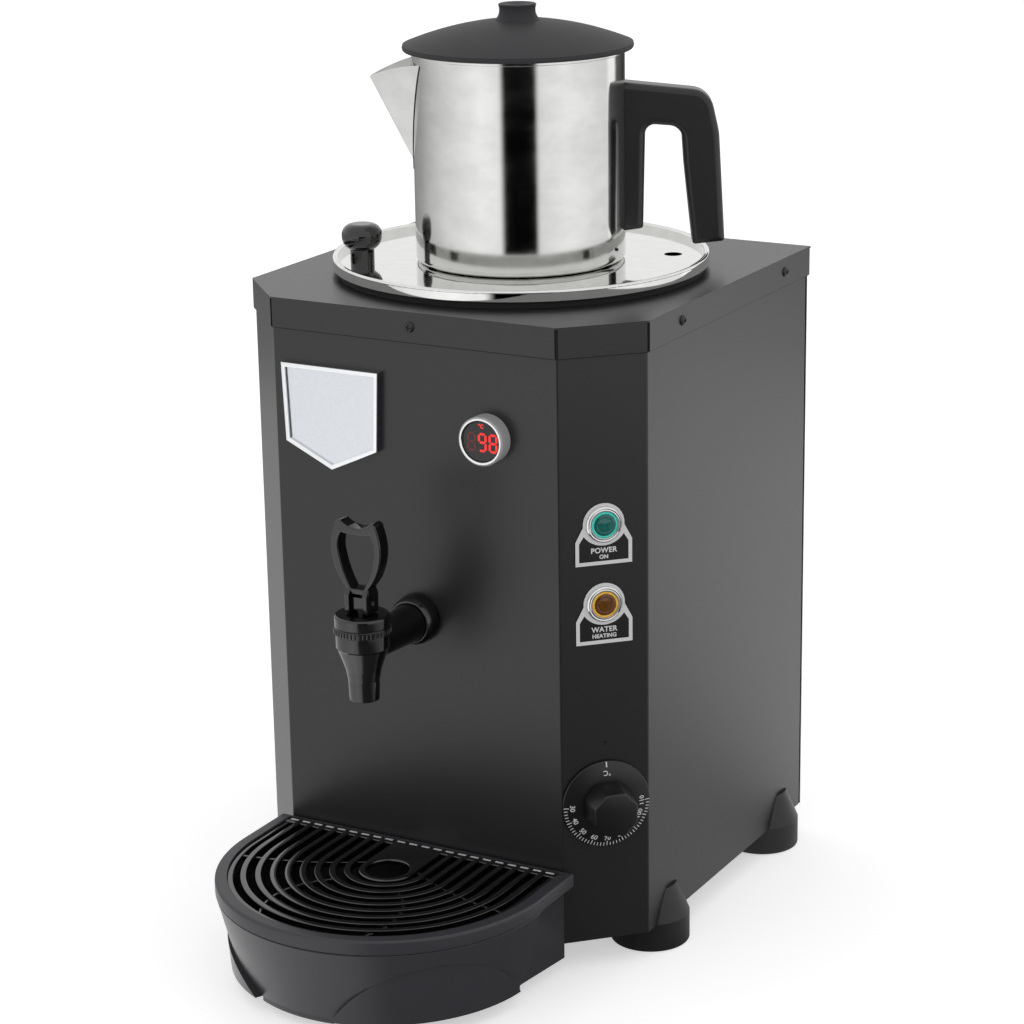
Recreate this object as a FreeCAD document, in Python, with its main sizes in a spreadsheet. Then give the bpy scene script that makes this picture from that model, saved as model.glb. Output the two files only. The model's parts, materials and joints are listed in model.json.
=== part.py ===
import FreeCAD, Part
import math
import os
import re
import Sketcher
from FreeCAD import Placement, Rotation, Vector

# Tea urn: a black sheet steel casing round a stainless tank, with a bakelite lever tap, a drip tray,
# a thermostat knob, two pilot lamps and a thermometer, and a teapot that keeps warm on the tank lid.
# X points to the right seen from the front, the front faces -Y, Z is up and the feet stand on Z = 0.
# All lengths are in millimetres.

SIZES = {
    "casing": {
        "side_room": (25, "tank to the side walls"),
        "front_room": (24, "tank to the front wall and to the back panel"),
        "body_height": (378, "casing wall that shows below the cover's flange"),
        "corner_cut": (40, "how far each front corner is cut back, both ways"),
        "casing_sheet": (1.0, "wall of the wrapper"),
        "back_sheet": (1.0, "back panel"),
        "bend_radius": (1.2, "inside of each fold"),
        "return_width": (18, "flange that the wrapper turns in behind the back panel"),
        "pan_sheet": (1.2, "base pan"),
        "pan_height": (14, "upturned edge of the base pan"),
        "cover_sheet": (1.2, "top cover"),
        "cover_gap": (0.3, "between the cover's flange and the wrapper"),
        "cover_headroom": (0.3, "between the wrapper's top edge and the cover"),
        "cover_drop": (19, "height of the cover's flange"),
        "slit_radius": (1.0, "relief notch where two flanges meet"),
    },
    "small screws": {
        "screw_radius": (1.9, "shank of the casing screws"),
        "screw_length": (9, "shank under the head"),
        "screw_head_radius": (3.4, "pan head"),
        "screw_head_height": (2.0, "pan head"),
        "screw_clearance": (0.1, "round a shank in its hole"),
        "cover_screw_drop": (9.4, "cover's top to the screws in its flange"),
        "cover_screw_front": (0, "place across the front"),
        "cover_screw_near": (54, "front side screw, forward of the middle"),
        "cover_screw_far": (99, "back side screw, behind the middle"),
        "back_screw_edge": (9, "in from the panel's edge"),
        "back_screw_margin": (30, "from the panel's bottom and top"),
    },
    "feet": {
        "foot_height": (19, "floor to the casing's bottom edge"),
        "foot_radius": (25.5, "base of a foot"),
        "foot_inset": (15, "foot's axis in from the side wall"),
        "foot_front": (32, "front feet behind the cut corners"),
        "foot_back": (33, "back feet in front of the back panel"),
        "petal_rise": (20.4, "how far a foot climbs the wall"),
        "petal_radius": (17.1, "cone at the top of the petal"),
        "foot_gap": (0.2, "between a petal and the wall"),
        "foot_bore": (2.6, "hole for its screw"),
        "foot_well": (7.5, "recess for the screw's head"),
        "foot_well_depth": (9, "recess for the screw's head"),
        "foot_edge": (1.5, "rounding at the base"),
        "foot_screw_radius": (2.5, "shank"),
        "foot_screw_head": (4.8, "radius of the head"),
        "foot_screw_head_height": (3.5, "head"),
        "foot_screw_grip": (8, "how far the shank stands above the pan"),
    },
    "tank": {
        "tank_radius": (115, "outside of the tank"),
        "tank_wall": (0.8, "stainless sheet"),
        "tank_corner": (9, "outside of the bottom corner"),
        "tank_sump": (26, "tap's axis above the tank's floor"),
        "tank_opening_gap": (0.5, "round the tank in the cover"),
        "rim_width": (3, "rolled rim past the wall"),
        "rim_height": (2.9, "rolled rim"),
        "rim_round": (1.3, "edge of the rolled rim"),
        "gasket_lip": (0.3, "gasket past the rim"),
        "gasket_height": (3.3, "tank's gasket"),
        "gasket_clearance": (0.1, "gasket round the tank"),
        "boss_radius": (13, "threaded boss for the tap"),
        "boss_reach": (11, "boss in front of the tank"),
        "well_radius": (4.5, "outside of the thermostat's pocket"),
        "well_bore": (3.5, "bore of the thermostat's pocket"),
        "well_length": (72, "pocket inside the tank"),
        "well_rise": (34, "pocket above the tank's floor"),
        "well_stub": (4, "pocket outside the tank"),
        "probe_boss": (6.5, "radius of the probe's boss"),
        "probe_stub": (6, "boss outside the tank's side"),
        "probe_radius": (2.5, "thermometer probe"),
        "probe_length": (42, "thermometer probe"),
        "probe_x": (40, "probe to the right of the middle"),
    },
    "heater": {
        "heater_tube": (4.25, "radius of the element's tube"),
        "heater_ring": (70, "radius of its loop"),
        "heater_rise": (21, "loop above the tank's floor"),
        "heater_pitch": (9, "legs either side of the middle"),
        "heater_bend": (15, "bends of the legs"),
        "heater_stub": (3, "legs that stay in the head"),
        "heater_thread": (17, "radius of the head's thread"),
        "heater_flange": (24, "radius of the head's flange"),
        "heater_flange_height": (5, "head's flange"),
        "heater_nut_flats": (44, "across flats"),
        "heater_nut_height": (6, "nut inside the tank"),
        "heater_thread_end": (1, "head's thread past the nut"),
        "heater_packing": (2, "gasket under the tank's floor"),
        "heater_clearance": (0.2, "round the thread"),
        "heater_pins": (12, "terminals below the flange"),
        "limiter_radius": (12, "safety cut-out"),
        "limiter_height": (11, "safety cut-out"),
        "limiter_edge": (1, "rounding of its end"),
        "limiter_place": (55, "safety cut-out from the middle"),
        "terminal_length": (60, "terminal block"),
        "terminal_width": (22, "terminal block"),
        "terminal_height": (18, "terminal block"),
        "terminal_bore": (2.2, "wire entries"),
        "terminal_count": (5, "ways"),
        "terminal_place": (70, "block behind the middle"),
    },
    "tap": {
        "tap_height": (201.5, "axis above the casing's bottom edge"),
        "tap_reach": (65.5, "barrel's axis in front of the wall"),
        "barrel_radius": (16.5, "barrel's top band"),
        "barrel_foot": (2.3, "band's lower edge above the axis"),
        "barrel_top": (11.1, "band's upper edge above the axis"),
        "throat_radius": (13, "cone below the band"),
        "throat_drop": (6.5, "its lower edge below the axis"),
        "neck_radius": (11, "where the cone turns into the spout"),
        "neck_drop": (12.5, "below the axis"),
        "nozzle_radius": (9.75, "top of the spout"),
        "nozzle_drop": (19.1, "below the axis"),
        "nozzle_end": (9.3, "radius at the spout's mouth"),
        "nozzle_length": (31.8, "mouth below the axis"),
        "chamber_radius": (10, "valve chamber"),
        "chamber_drop": (5.5, "seat below the axis"),
        "outlet_radius": (6, "bore of the spout"),
        "inlet_radius": (4.8, "bore of the arm"),
        "arm_near": (13, "radius of the arm at the wall"),
        "arm_far": (10, "radius of the arm at the barrel"),
        "collar_radius": (16, "collar on the wall"),
        "collar_length": (12, "collar on the wall"),
        "collar_flange": (3, "its disc"),
        "collar_mouth": (14.5, "its front edge"),
        "fit_gap": (0.1, "round a piece that passes through another"),
        "shank_radius": (7.9, "threaded shank through the wall"),
        "shank_inside": (6, "shank inside the tank"),
        "tap_nut_flats": (24, "across flats"),
        "tap_nut_height": (7, "behind the wall"),
        "tap_seal_radius": (12, "seal against the boss"),
        "bonnet_ring": (17.7, "knurled ring"),
        "bonnet_ring_height": (4.1, "knurled ring"),
        "bonnet_radius": (17, "cap above the ring"),
        "bonnet_height": (11.9, "ring and cap"),
        "bonnet_edge": (1.0, "rounding of the cap"),
        "bonnet_roof": (3, "thickness over the spring"),
        "bonnet_spigot": (9.9, "radius of the part inside the chamber"),
        "bonnet_spigot_drop": (3.6, "its length"),
        "spring_room": (8, "bore for the spring"),
        "knurl_count": (36, "flutes round the ring"),
        "knurl_radius": (0.7, "one flute"),
        "stem_radius": (3, "valve stem"),
        "stem_gap": (0.1, "stem in the bonnet"),
        "stem_block_width": (8.6, "stem's flat head between the lever's legs"),
        "stem_block_depth": (8, "flat head, front to back"),
        "pin_rise": (7.2, "lever's pin above the bonnet"),
        "pin_radius": (1.5, "lever's pin"),
        "pin_gap": (0.05, "pin in the lever's legs"),
        "stem_crown": (3.6, "flat head above the pin"),
        "stem_shoulder": (4, "flat head below the pin"),
        "cup_radius": (8, "rubber seat cup"),
        "cup_foot": (6.6, "its end on the seat"),
        "cup_height": (7, "rubber seat cup"),
        "cup_grip": (3, "stem inside the cup"),
        "spring_radius": (5.6, "middle of the spring's coil"),
        "spring_wire": (0.6, "radius of its wire"),
        "spring_gap": (0.3, "at each end of the spring"),
        "spring_turns": (5, "coils"),
    },
    "lever": {
        "leg_outer": (7.8, "half width over the legs"),
        "leg_inner": (4.6, "half width between the legs"),
        "leg_depth": (14, "front to back"),
        "leg_toe": (2.5, "rounded lower corners"),
        "leg_gap": (0.5, "legs above the bonnet"),
        "loop_depth": (10, "front to back"),
        "leg_head": (9.2, "top of the legs above the pin"),
        "bridge_foot": (5.8, "bridge's underside above the pin"),
        "waist_rise": (10, "narrowest place above the pin"),
        "waist_half": (7.9, "half width there"),
        "flank_rise": (20.5, "middle of the flank above the pin"),
        "flank_half": (14.4, "half width there"),
        "belly_rise": (33, "widest place above the pin"),
        "belly_half": (17.25, "half width there"),
        "brow_rise": (42, "upper flank above the pin"),
        "brow_half": (16.4, "half width there"),
        "shoulder_rise": (49, "shoulder above the pin"),
        "shoulder_half": (13.6, "half width there"),
        "tip_rise": (51.7, "tips above the pin"),
        "tip_half": (11.5, "half width there"),
        "crown_rise": (47.5, "hollow of the top above the pin"),
        "window_foot": (9.2, "window's lower edge above the pin"),
        "window_foot_half": (4.4, "half width there"),
        "window_flank_rise": (20, "window's flank above the pin"),
        "window_flank_half": (9.4, "half width there"),
        "window_belly_rise": (32.5, "window's widest place"),
        "window_belly_half": (12.6, "half width there"),
        "window_brow_rise": (39.5, "window's upper flank"),
        "window_brow_half": (12, "half width there"),
        "window_top_rise": (43.8, "window's upper corner"),
        "window_top_half": (10.1, "half width there"),
        "window_crown_rise": (42.8, "window's top in the middle"),
    },
    "thermostat": {
        "thermostat_height": (92.3, "axis above the casing's bottom edge"),
        "thermostat_width": (36, "body behind the wall"),
        "thermostat_length": (44, "body, up and down"),
        "thermostat_depth": (24, "body behind the wall"),
        "bush_radius": (4.8, "threaded bush through the wall"),
        "bush_reach": (3.5, "bush in front of the wall"),
        "shaft_radius": (3, "spindle"),
        "shaft_gap": (0.05, "spindle in its bush"),
        "shaft_inside": (14, "spindle behind the wall"),
        "shaft_end_gap": (0.5, "behind the spindle's end"),
        "shaft_outside": (16, "spindle in front of the wall"),
        "knob_radius": (28.3, "skirt"),
        "knob_gap": (0.8, "skirt in front of the wall"),
        "knob_edge": (1.6, "skirt's rim"),
        "knob_cone": (4.2, "top of the skirt above its underside"),
        "knob_cone_radius": (18, "where the grip begins"),
        "knob_recess_radius": (9.5, "hollow over the bush"),
        "knob_recess": (4.5, "hollow over the bush"),
        "knob_length": (23, "face in front of the wall"),
        "grip_base": (31, "across the flats at the skirt"),
        "grip_face": (27.5, "across the flats at the face"),
        "grip_edge": (1.2, "rounding of the face"),
        "capillary_radius": (1.0, "tube to the bulb"),
        "capillary_bend": (7, "its bends"),
        "capillary_lead": (4, "straight run behind the thermostat"),
        "bulb_radius": (3.2, "sensing bulb"),
        "bulb_length": (66, "sensing bulb"),
    },
    "lamps": {
        "lamp_drop": (104.6, "upper lamp below the cover's flange"),
        "lamp_pitch": (50.6, "upper lamp to lower lamp"),
        "lamp_bezel": (11.2, "radius of the chrome ring"),
        "lamp_bezel_height": (2.6, "chrome ring"),
        "lamp_window": (8.4, "radius of the jewel"),
        "lamp_edge": (0.8, "jewel's straight edge"),
        "lamp_dome": (1.7, "jewel's dome above its edge"),
        "lamp_seat": (1.0, "jewel's edge above the label"),
        "lamp_body_radius": (6.5, "body through the wall"),
        "lamp_body_length": (26, "body behind the wall"),
        "lamp_body_edge": (1.0, "rounding of the body"),
        "lamp_bezel_edge": (0.9, "rounding of the chrome ring"),
        "label_sheet": (0.6, "label plate"),
        "label_ring": (13.2, "round part of the label"),
        "label_half": (18, "half width of the label"),
        "label_foot": (25.6, "lower edge below the lamp"),
        "label_shoulder": (10.4, "shoulder below the lamp"),
        "label_meet": (1.2, "where the slope meets the round part"),
    },
    "thermometer": {
        "thermo_x": (52.7, "to the right of the middle"),
        "thermo_drop": (54, "below the cover's flange"),
        "thermo_radius": (15.25, "bezel"),
        "thermo_reach": (10.5, "bezel in front of the wall"),
        "thermo_window": (12.4, "inside of the bezel"),
        "thermo_recess": (1.6, "face below the bezel's front"),
        "thermo_face": (2.0, "thickness of the face"),
        "thermo_body": (12.9, "radius of the body"),
        "thermo_depth": (24, "body behind the wall"),
        "thermo_edge": (1.2, "rounding of the bezel"),
        "probe_drop": (38.5, "probe below the thermometer's axis"),
        "thermo_body_edge": (1.0, "rounding of the body"),
        "panel_hole_gap": (0.2, "round a fitting in the wall"),
    },
    "badge": {
        "badge_margin": (7.4, "in from the left fold"),
        "badge_headroom": (21, "upper edge below the cover's flange"),
        "badge_half": (35.3, "half width at the top"),
        "badge_waist": (33.3, "half width at the shoulders"),
        "badge_side": (50.4, "shoulders below the upper edge"),
        "badge_drop": (65.7, "point below the upper edge"),
        "badge_sheet": (3.0, "rim's thickness"),
        "badge_rim": (3.0, "rim's width"),
        "badge_sink": (1.2, "field below the rim"),
    },
    "gland": {
        "gland_inset": (45, "in from the side wall"),
        "gland_z": (42, "above the casing's bottom edge"),
        "gland_reach": (14, "behind the back panel"),
        "gland_radius": (9.5, "cap"),
        "gland_edge": (3, "rounding of the cap"),
        "gland_flats": (21, "across flats"),
        "gland_hex": (6, "hexagon on the panel"),
        "gland_bore": (4, "hole for the cord"),
        "gland_thread": (7.8, "thread through the panel"),
        "gland_inside": (9, "thread inside"),
        "gland_nut_height": (5, "nut inside"),
    },
    "drip tray": {
        "tray_half": (108, "half width of the rim"),
        "tray_rim_width": (8, "rim round the grille"),
        "tray_straight": (45, "straight part of the sides"),
        "tray_gap": (0.5, "between the tray and the casing"),
        "tray_height": (69, "rim's top above the floor"),
        "tray_band": (9, "rim's band"),
        "tray_groove": (1.2, "groove below the band"),
        "tray_groove_depth": (3, "groove below the band"),
        "tray_shelf": (1.5, "band past the wall"),
        "tray_taper": (18, "how far the wall leans in down to the floor"),
        "tray_floor": (3, "thickness of the floor"),
        "tray_wall_foot": (3.5, "wall at the floor"),
        "tray_wall": (3.9, "wall under the ledge"),
        "tray_ledge_width": (3.5, "ledge that carries the grille"),
        "tray_ledge_height": (3.5, "thickness of the ledge"),
        "tray_rim_round": (2.0, "rounded edge of the rim"),
        "tray_rim_flush": (0.5, "grille's top below the rim"),
        "tray_back": (3, "back wall"),
    },
    "grille": {
        "grille_gap": (0.5, "round the grille in the tray"),
        "grille_height": (4, "plate"),
        "grille_ring": (13.8, "hole in the middle"),
        "grille_frame": (2.4, "frame round the ribs"),
        "grille_slot": (4.8, "gap between ribs"),
        "grille_rib": (4.5, "width of the middle ring"),
        "grille_slots": (9, "gaps from the middle ring to the frame"),
        "grille_back": (6.5, "frame along the back"),
        "spoke_height": (1.8, "spokes under the ribs"),
        "spoke_width": (3.6, "spokes under the ribs"),
        "front_spoke_x": (22, "front spoke, inner end"),
        "front_spoke_y": (70, "front spoke, inner end"),
        "front_spoke_mid_x": (42.6, "front spoke, middle"),
        "front_spoke_mid_y": (108, "front spoke, middle"),
        "front_spoke_end_x": (36, "front spoke, outer end"),
        "front_spoke_end": (9.5, "front spoke's outer end in from the grille's edge"),
        "side_spoke_x": (15.5, "side spoke, inner end"),
        "side_spoke_y": (37, "side spoke, inner end"),
        "side_spoke_mid_x": (58, "side spoke, middle"),
        "side_spoke_mid_y": (58, "side spoke, middle"),
        "side_spoke_end": (3.5, "side spoke's outer end in from the grille's edge"),
        "side_spoke_end_y": (67, "side spoke, outer end"),
    },
    "tank lid": {
        "lid_sheet": (0.8, "lid's sheet"),
        "lid_overlap": (0.4, "flat plate past the tank's rim"),
        "lid_rim_rise": (4.0, "rim above the plate"),
        "lid_rim_width": (3.0, "rim outside the flat plate"),
        "lid_rim_skirt": (1.6, "rim's edge below the plate"),
        "lid_spigot_gap": (0.8, "locating ring inside the tank's wall"),
        "lid_spigot_drop": (8, "locating ring"),
        "lid_spigot_sheet": (1.0, "locating ring"),
        "steam_radius": (5.85, "steam hole"),
        "steam_inset": (17, "steam hole's middle in from the tank's side"),
        "steam_angle": (30, "degrees"),
        "lid_knob_inset": (13, "knob's middle in from the tank's side"),
        "lid_knob_angle": (210, "degrees"),
        "lid_knob_neck": (7.75, "radius of the neck"),
        "lid_knob_neck_height": (7.5, "neck"),
        "lid_knob_radius": (13, "head"),
        "lid_knob_belly": (16, "widest place above the plate"),
        "lid_knob_lower": (12.09, "radius between the neck and the widest place"),
        "lid_knob_upper": (11.05, "radius above the widest place"),
        "lid_knob_upper_rise": (21.76, "its height above the plate"),
        "lid_knob_height": (24, "top above the plate"),
        "lid_knob_crown": (6, "flat of the top"),
        "lid_screw_radius": (2.0, "screw in the knob"),
        "lid_screw_length": (9, "screw in the knob"),
        "lid_screw_head": (4.2, "its head under the plate"),
        "lid_screw_head_height": (2.2, "its head under the plate"),
        "lid_screw_edge": (1.0, "rounding of its head"),
    },
    "teapot": {
        "pot_turn": (29, "degrees that the pot is turned"),
        "pot_radius": (67.4, "outside"),
        "pot_wall": (0.8, "sheet"),
        "pot_corner": (4, "bottom corner"),
        "pot_height": (134.3, "rim above the lid"),
        "pot_bead_width": (0.9, "rolled rim past the wall"),
        "pot_bead_height": (2.2, "rolled rim"),
        "spout_reach": (27, "tip past the pot's wall"),
        "spout_tip_drop": (18, "tip below the pot's rim"),
        "spout_top_drop": (7, "edge at the wall below the rim"),
        "spout_brow_reach": (14.1, "middle of the top edge past the wall"),
        "spout_brow_drop": (11, "middle of the top edge below the rim"),
        "spout_foot_drop": (71.3, "lowest point of the seam below the rim"),
        "spout_half": (27.6, "half width at the wall"),
        "spout_nose": (3, "rounding of the ridge"),
        "spout_heel_half": (3.5, "half width of the lowest section"),
        "spout_sheet": (0.9, "sheet"),
        "spout_sheet_ridge": (1.44, "sheet, measured along the middle of the fold"),
        "spout_sheet_root": (1.125, "sheet, measured across at the root"),
        "spout_heel": (0.8, "lowest point of the ridge past the wall"),
        "spout_heel_nose": (0.6, "rounding of the ridge there"),
        "spout_heel_inside": (0.3, "rounding of the fold's inside there"),
        "spout_root_depth": (9.436, "root inside the pot's wall before it is cut to fit"),
        "spout_root_half": (30.912, "half width of the root at the top"),
        "spout_waste": (3, "fold above the edge at the wall before it is cut"),
        "spout_lip_reach": (8, "cut of the upper edge past the tip"),
        "spout_lip_drop": (3, "its line below the tip there"),
        "spout_lip_depth": (13.48, "cut of the upper edge inside the wall"),
        "spout_lip_rise": (1, "its line above the edge at the wall there"),
        "spout_lip_room": (12, "height of the cut"),
        "strainer_radius": (1.6, "hole behind the spout"),
        "strainer_pitch": (8, "hole to hole"),
        "strainer_row": (6.96, "row to row"),
        "strainer_drop": (50.3, "lowest hole below the rim"),
        "handle_width": (20, "side to side"),
        "handle_edge": (4, "rounded edges"),
        "handle_top_drop": (21.3, "upper root below the rim"),
        "handle_elbow_reach": (53.6, "elbow past the wall"),
        "handle_elbow_drop": (27.8, "elbow below the rim"),
        "handle_elbow_round": (15, "elbow"),
        "handle_back_reach": (59.4, "outside of the grip past the wall, top"),
        "handle_back_drop": (54.3, "outside of the grip below the rim, top"),
        "handle_end_reach": (63.1, "outside of the grip past the wall, end"),
        "handle_end_rise": (10, "outside of the grip, end"),
        "handle_inner_reach": (42.6, "inside of the grip past the wall, end"),
        "handle_inner_end_rise": (8, "inside of the grip, end"),
        "handle_palm_reach": (37.2, "inside of the grip past the wall"),
        "handle_palm_rise": (60, "inside of the grip"),
        "handle_arch_reach": (35.6, "inner elbow past the wall"),
        "handle_arch_drop": (50.3, "inner elbow below the rim"),
        "handle_arch_round": (9, "inner elbow"),
        "handle_throat_reach": (12.6, "inside of the root past the wall"),
        "handle_throat_drop": (48.3, "inside of the root below the rim"),
        "handle_throat_round": (6, "inside of the root"),
        "handle_root_reach": (11.1, "outside of the lower root past the wall"),
        "handle_root_rise": (19, "outside of the lower root"),
        "handle_heel_rise": (17, "lower root at the wall"),
        "handle_fit": (0.05, "between the handle and the wall"),
        "handle_tuck": (4.044, "roots inside the pot's wall before they are cut to fit"),
        "handle_grip_round": (40, "bends of the grip"),
        "handle_screw_radius": (2.0, "screws through the wall"),
        "handle_screw_head": (4.0, "their heads inside"),
        "handle_screw_head_height": (1.8, "their heads inside"),
        "handle_screw_length": (9, "their shanks"),
        "handle_screw_drop": (30.3, "upper screw below the rim"),
        "handle_screw_low": (32, "lower screw"),
    },
    "pot lid": {
        "pot_lid_lip": (5.6, "edge past the pot's wall"),
        "pot_lid_band": (3.4, "edge"),
        "pot_lid_dome": (17.7, "flat seat of the knob above the rim"),
        "pot_lid_shoulder": (31, "a point on the dome in from the edge"),
        "pot_lid_swell_rise": (13.2, "its height above the rim"),
        "pot_lid_wall": (2.2, "moulding"),
        "pot_lid_inside": (0.4, "inside of the dome's foot above the rim"),
        "pot_lid_edge": (0.8, "rounding of the rim"),
        "pot_lid_gap": (0.7, "locating ring inside the pot"),
        "pot_lid_ring_drop": (7, "locating ring"),
        "pot_lid_seat": (15, "flat seat of the knob"),
        "pot_knob_base": (14.4, "knob's foot"),
        "pot_knob_top": (12.4, "knob's rim"),
        "pot_knob_waist": (11.6, "between them"),
        "pot_knob_height": (10.3, "knob"),
        "pot_knob_waist_rise": (4.635, "height of the waist"),
        "pot_knob_edge": (0.8, "rounding of its rim"),
        "pot_knob_pin": (1.5, "pin below the lid"),
        "pot_knob_hollow": (1.6, "hollow of its top"),
        "pot_knob_hollow_radius": (9.5, "hollow of its top"),
        "pot_knob_spigot": (4, "pin through the lid"),
    },
}

# Places that follow from the sizes above
LEVELS = {
    "mitre": "tan(22.5 deg)",
    "half_width": "tank_radius + side_room",
    "half_depth": "tank_radius + front_room",
    "tray_reach": "tray_gap + tray_straight + tray_half",
    "centre_y": "(tray_reach - gland_reach) / 2",
    "front_y": "centre_y - half_depth",
    "back_y": "centre_y + half_depth",
    "cover_top": "foot_height + body_height + cover_drop",
    "casing_top": "cover_top - cover_sheet - cover_headroom",
    "casing_rise": "casing_top - foot_height",
    "lamp_high": "body_height - lamp_drop",
    "lamp_low": "body_height - lamp_drop - lamp_pitch",
    "thermo_height": "body_height - thermo_drop",
    "gland_x": "half_width - gland_inset",
    "badge_top": "body_height - badge_headroom",
    "badge_x": "half_width - corner_cut - badge_margin - badge_half",
    "chamfer_x": "half_width - corner_cut / 2",
    "chamfer_y": "front_y + corner_cut / 2",
    "chamfer_reach": "(half_width + half_depth - corner_cut) / sqrt(2)",
    "tap_z": "foot_height + tap_height",
    "tap_y": "front_y - tap_reach",
    "rim_radius": "tank_radius + rim_width",
    "floor_z": "tap_z - tank_sump",
    "probe_rise": "foot_height + thermo_height - probe_drop - floor_z",
    "rest_z": "cover_top + gasket_height + rim_height",
    "tank_rise": "rest_z - floor_z",
    "boss_gap": "front_room - boss_reach",
    "plate_z": "rest_z + lid_sheet",
    "lid_plate": "rim_radius + lid_overlap",
    "lid_rim_radius": "lid_plate + lid_rim_width",
    "lid_spigot": "tank_radius - tank_wall - lid_spigot_gap",
    "steam_place": "tank_radius - steam_inset",
    "lid_knob_place": "tank_radius - lid_knob_inset",
    "bonnet_z": "barrel_top + bonnet_height",
    "pin_z": "bonnet_z + pin_rise",
    "grille_z": "tray_height - grille_height - tray_rim_flush",
    "tray_mouth": "tray_half - tray_rim_width",
    "tray_ledge": "tray_mouth - tray_ledge_width",
    "tray_shoulder": "tray_half - tray_shelf",
    "tray_foot": "tray_shoulder - tray_taper",
    "grille_half": "tray_mouth - grille_gap",
    "seat_ring": "grille_ring + grille_rib",
    "grille_pitch": "(grille_half - grille_frame - seat_ring - grille_slot) / (grille_slots - 1)",
    "pot_rim_z": "plate_z + pot_height",
    "pot_bead": "pot_radius + pot_bead_width",
    "spout_tip": "pot_radius + spout_reach",
    "spout_tip_rise": "pot_height - spout_tip_drop",
    "spout_top_rise": "pot_height - spout_top_drop",
    "spout_brow": "pot_radius + spout_brow_reach",
    "spout_brow_rise": "pot_height - spout_brow_drop",
    "spout_foot_rise": "pot_height - spout_foot_drop",
    "strainer_rise": "pot_height - strainer_drop",
    "handle_top": "pot_height - handle_top_drop",
    "handle_elbow": "pot_radius + handle_elbow_reach",
    "handle_elbow_rise": "pot_height - handle_elbow_drop",
    "handle_back": "pot_radius + handle_back_reach",
    "handle_back_rise": "pot_height - handle_back_drop",
    "handle_end": "pot_radius + handle_end_reach",
    "handle_inner_end": "pot_radius + handle_inner_reach",
    "handle_palm": "pot_radius + handle_palm_reach",
    "handle_arch": "pot_radius + handle_arch_reach",
    "handle_arch_rise": "pot_height - handle_arch_drop",
    "handle_throat": "pot_radius + handle_throat_reach",
    "handle_throat_rise": "pot_height - handle_throat_drop",
    "handle_root": "pot_radius + handle_root_reach",
    "handle_screw_high": "pot_height - handle_screw_drop",
    "screw_seat": "sqrt((pot_radius - pot_wall) ^ 2 - handle_screw_head ^ 2)",
    "pot_lid_radius": "pot_radius + pot_lid_lip",
    "pot_lid_ring": "pot_radius - pot_wall - pot_lid_gap",
    "pot_lid_swell": "pot_lid_radius - pot_lid_shoulder",
    "back_wall": "half_depth - back_sheet",
    "lamp_sphere": "(lamp_window ^ 2 + lamp_dome ^ 2) / (2 * lamp_dome)",
    "heater_leg": "sqrt((heater_ring - heater_bend) ^ 2 - (heater_pitch + heater_bend) ^ 2)",
}

FRONT = Rotation(Vector(1, 0, 0), 90)
CHAMFER = Rotation(Vector(0, 0, 1), 45) * FRONT
SIDE = Rotation(Vector(0, 0, 1), 90) * FRONT
BACK = Rotation(Vector(0, 0, 1), 180) * FRONT
LEFT = Rotation(Vector(0, 0, 1), -90) * FRONT
LEVEL = Rotation()

CLOSE = 0.01      # two places nearer than this are the same
OVERSHOOT = 6     # a cut that goes right through is this many sheets long
STRAINER_ROWS = 4  # rows of holes behind the spout, each with one hole more

doc = FreeCAD.newDocument("TeaUrn")
sheet = doc.addObject("Spreadsheet::Sheet", "Sizes")
levels = doc.addObject("App::VarSet", "Levels")
owner = {}
pieces = []


def bound(text):
    """The expression with each size named in full."""
    return re.sub(r"[a-z]\w*", lambda word: owner.get(word[0], "") + word[0], str(text))


def value(text):
    return float(sheet.evalExpression(bound(text)))


def tie(item, path, text):
    """Tie a property to the sizes that the text names, if it names any."""
    if bound(text) != str(text):
        item.setExpression(path, bound(text))


def bind(item, name, text):
    setattr(item, name, value(text))
    tie(item, name, text)


def fill_sheet():
    row = 1
    for group, sizes in SIZES.items():
        sheet.set("A%d" % row, group)
        row += 1
        for alias, (size, note) in sizes.items():
            sheet.set("A%d" % row, alias)
            sheet.set("B%d" % row, str(size))
            sheet.set("C%d" % row, note)
            sheet.setAlias("B%d" % row, alias)
            owner[alias] = "Sizes."
            row += 1
    doc.recompute()
    for name, text in LEVELS.items():
        levels.addProperty("App::PropertyFloat", name, "Levels", "")
        levels.setExpression(name, bound(text))
        owner[name] = "Levels."
    doc.recompute()


def put(item, at, turn=LEVEL):
    """Stand an object at three bound coordinates."""
    item.Placement = Placement(Vector(*[value(text) for text in at]), turn)
    for axis, text in zip("xyz", at):
        tie(item, "Placement.Base." + axis, text)


def new_body(label, at, turn=LEVEL):
    body = doc.addObject("PartDesign::Body", label)
    body.Label = label
    put(body, at, turn)
    pieces.append(body)
    return body


def circle_through(a, b, c):
    """Centre of the circle through three points."""
    ax, ay, bx, by, cx, cy = a.x, a.y, b.x, b.y, c.x, c.y
    d = 2 * (ax * (by - cy) + bx * (cy - ay) + cx * (ay - by))
    qa, qb, qc = ax * ax + ay * ay, bx * bx + by * by, cx * cx + cy * cy
    x = (qa * (by - cy) + qb * (cy - ay) + qc * (ay - by)) / d
    y = (qa * (cx - bx) + qb * (ax - cx) + qc * (bx - ax)) / d
    return Vector(x, y, 0)


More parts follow.
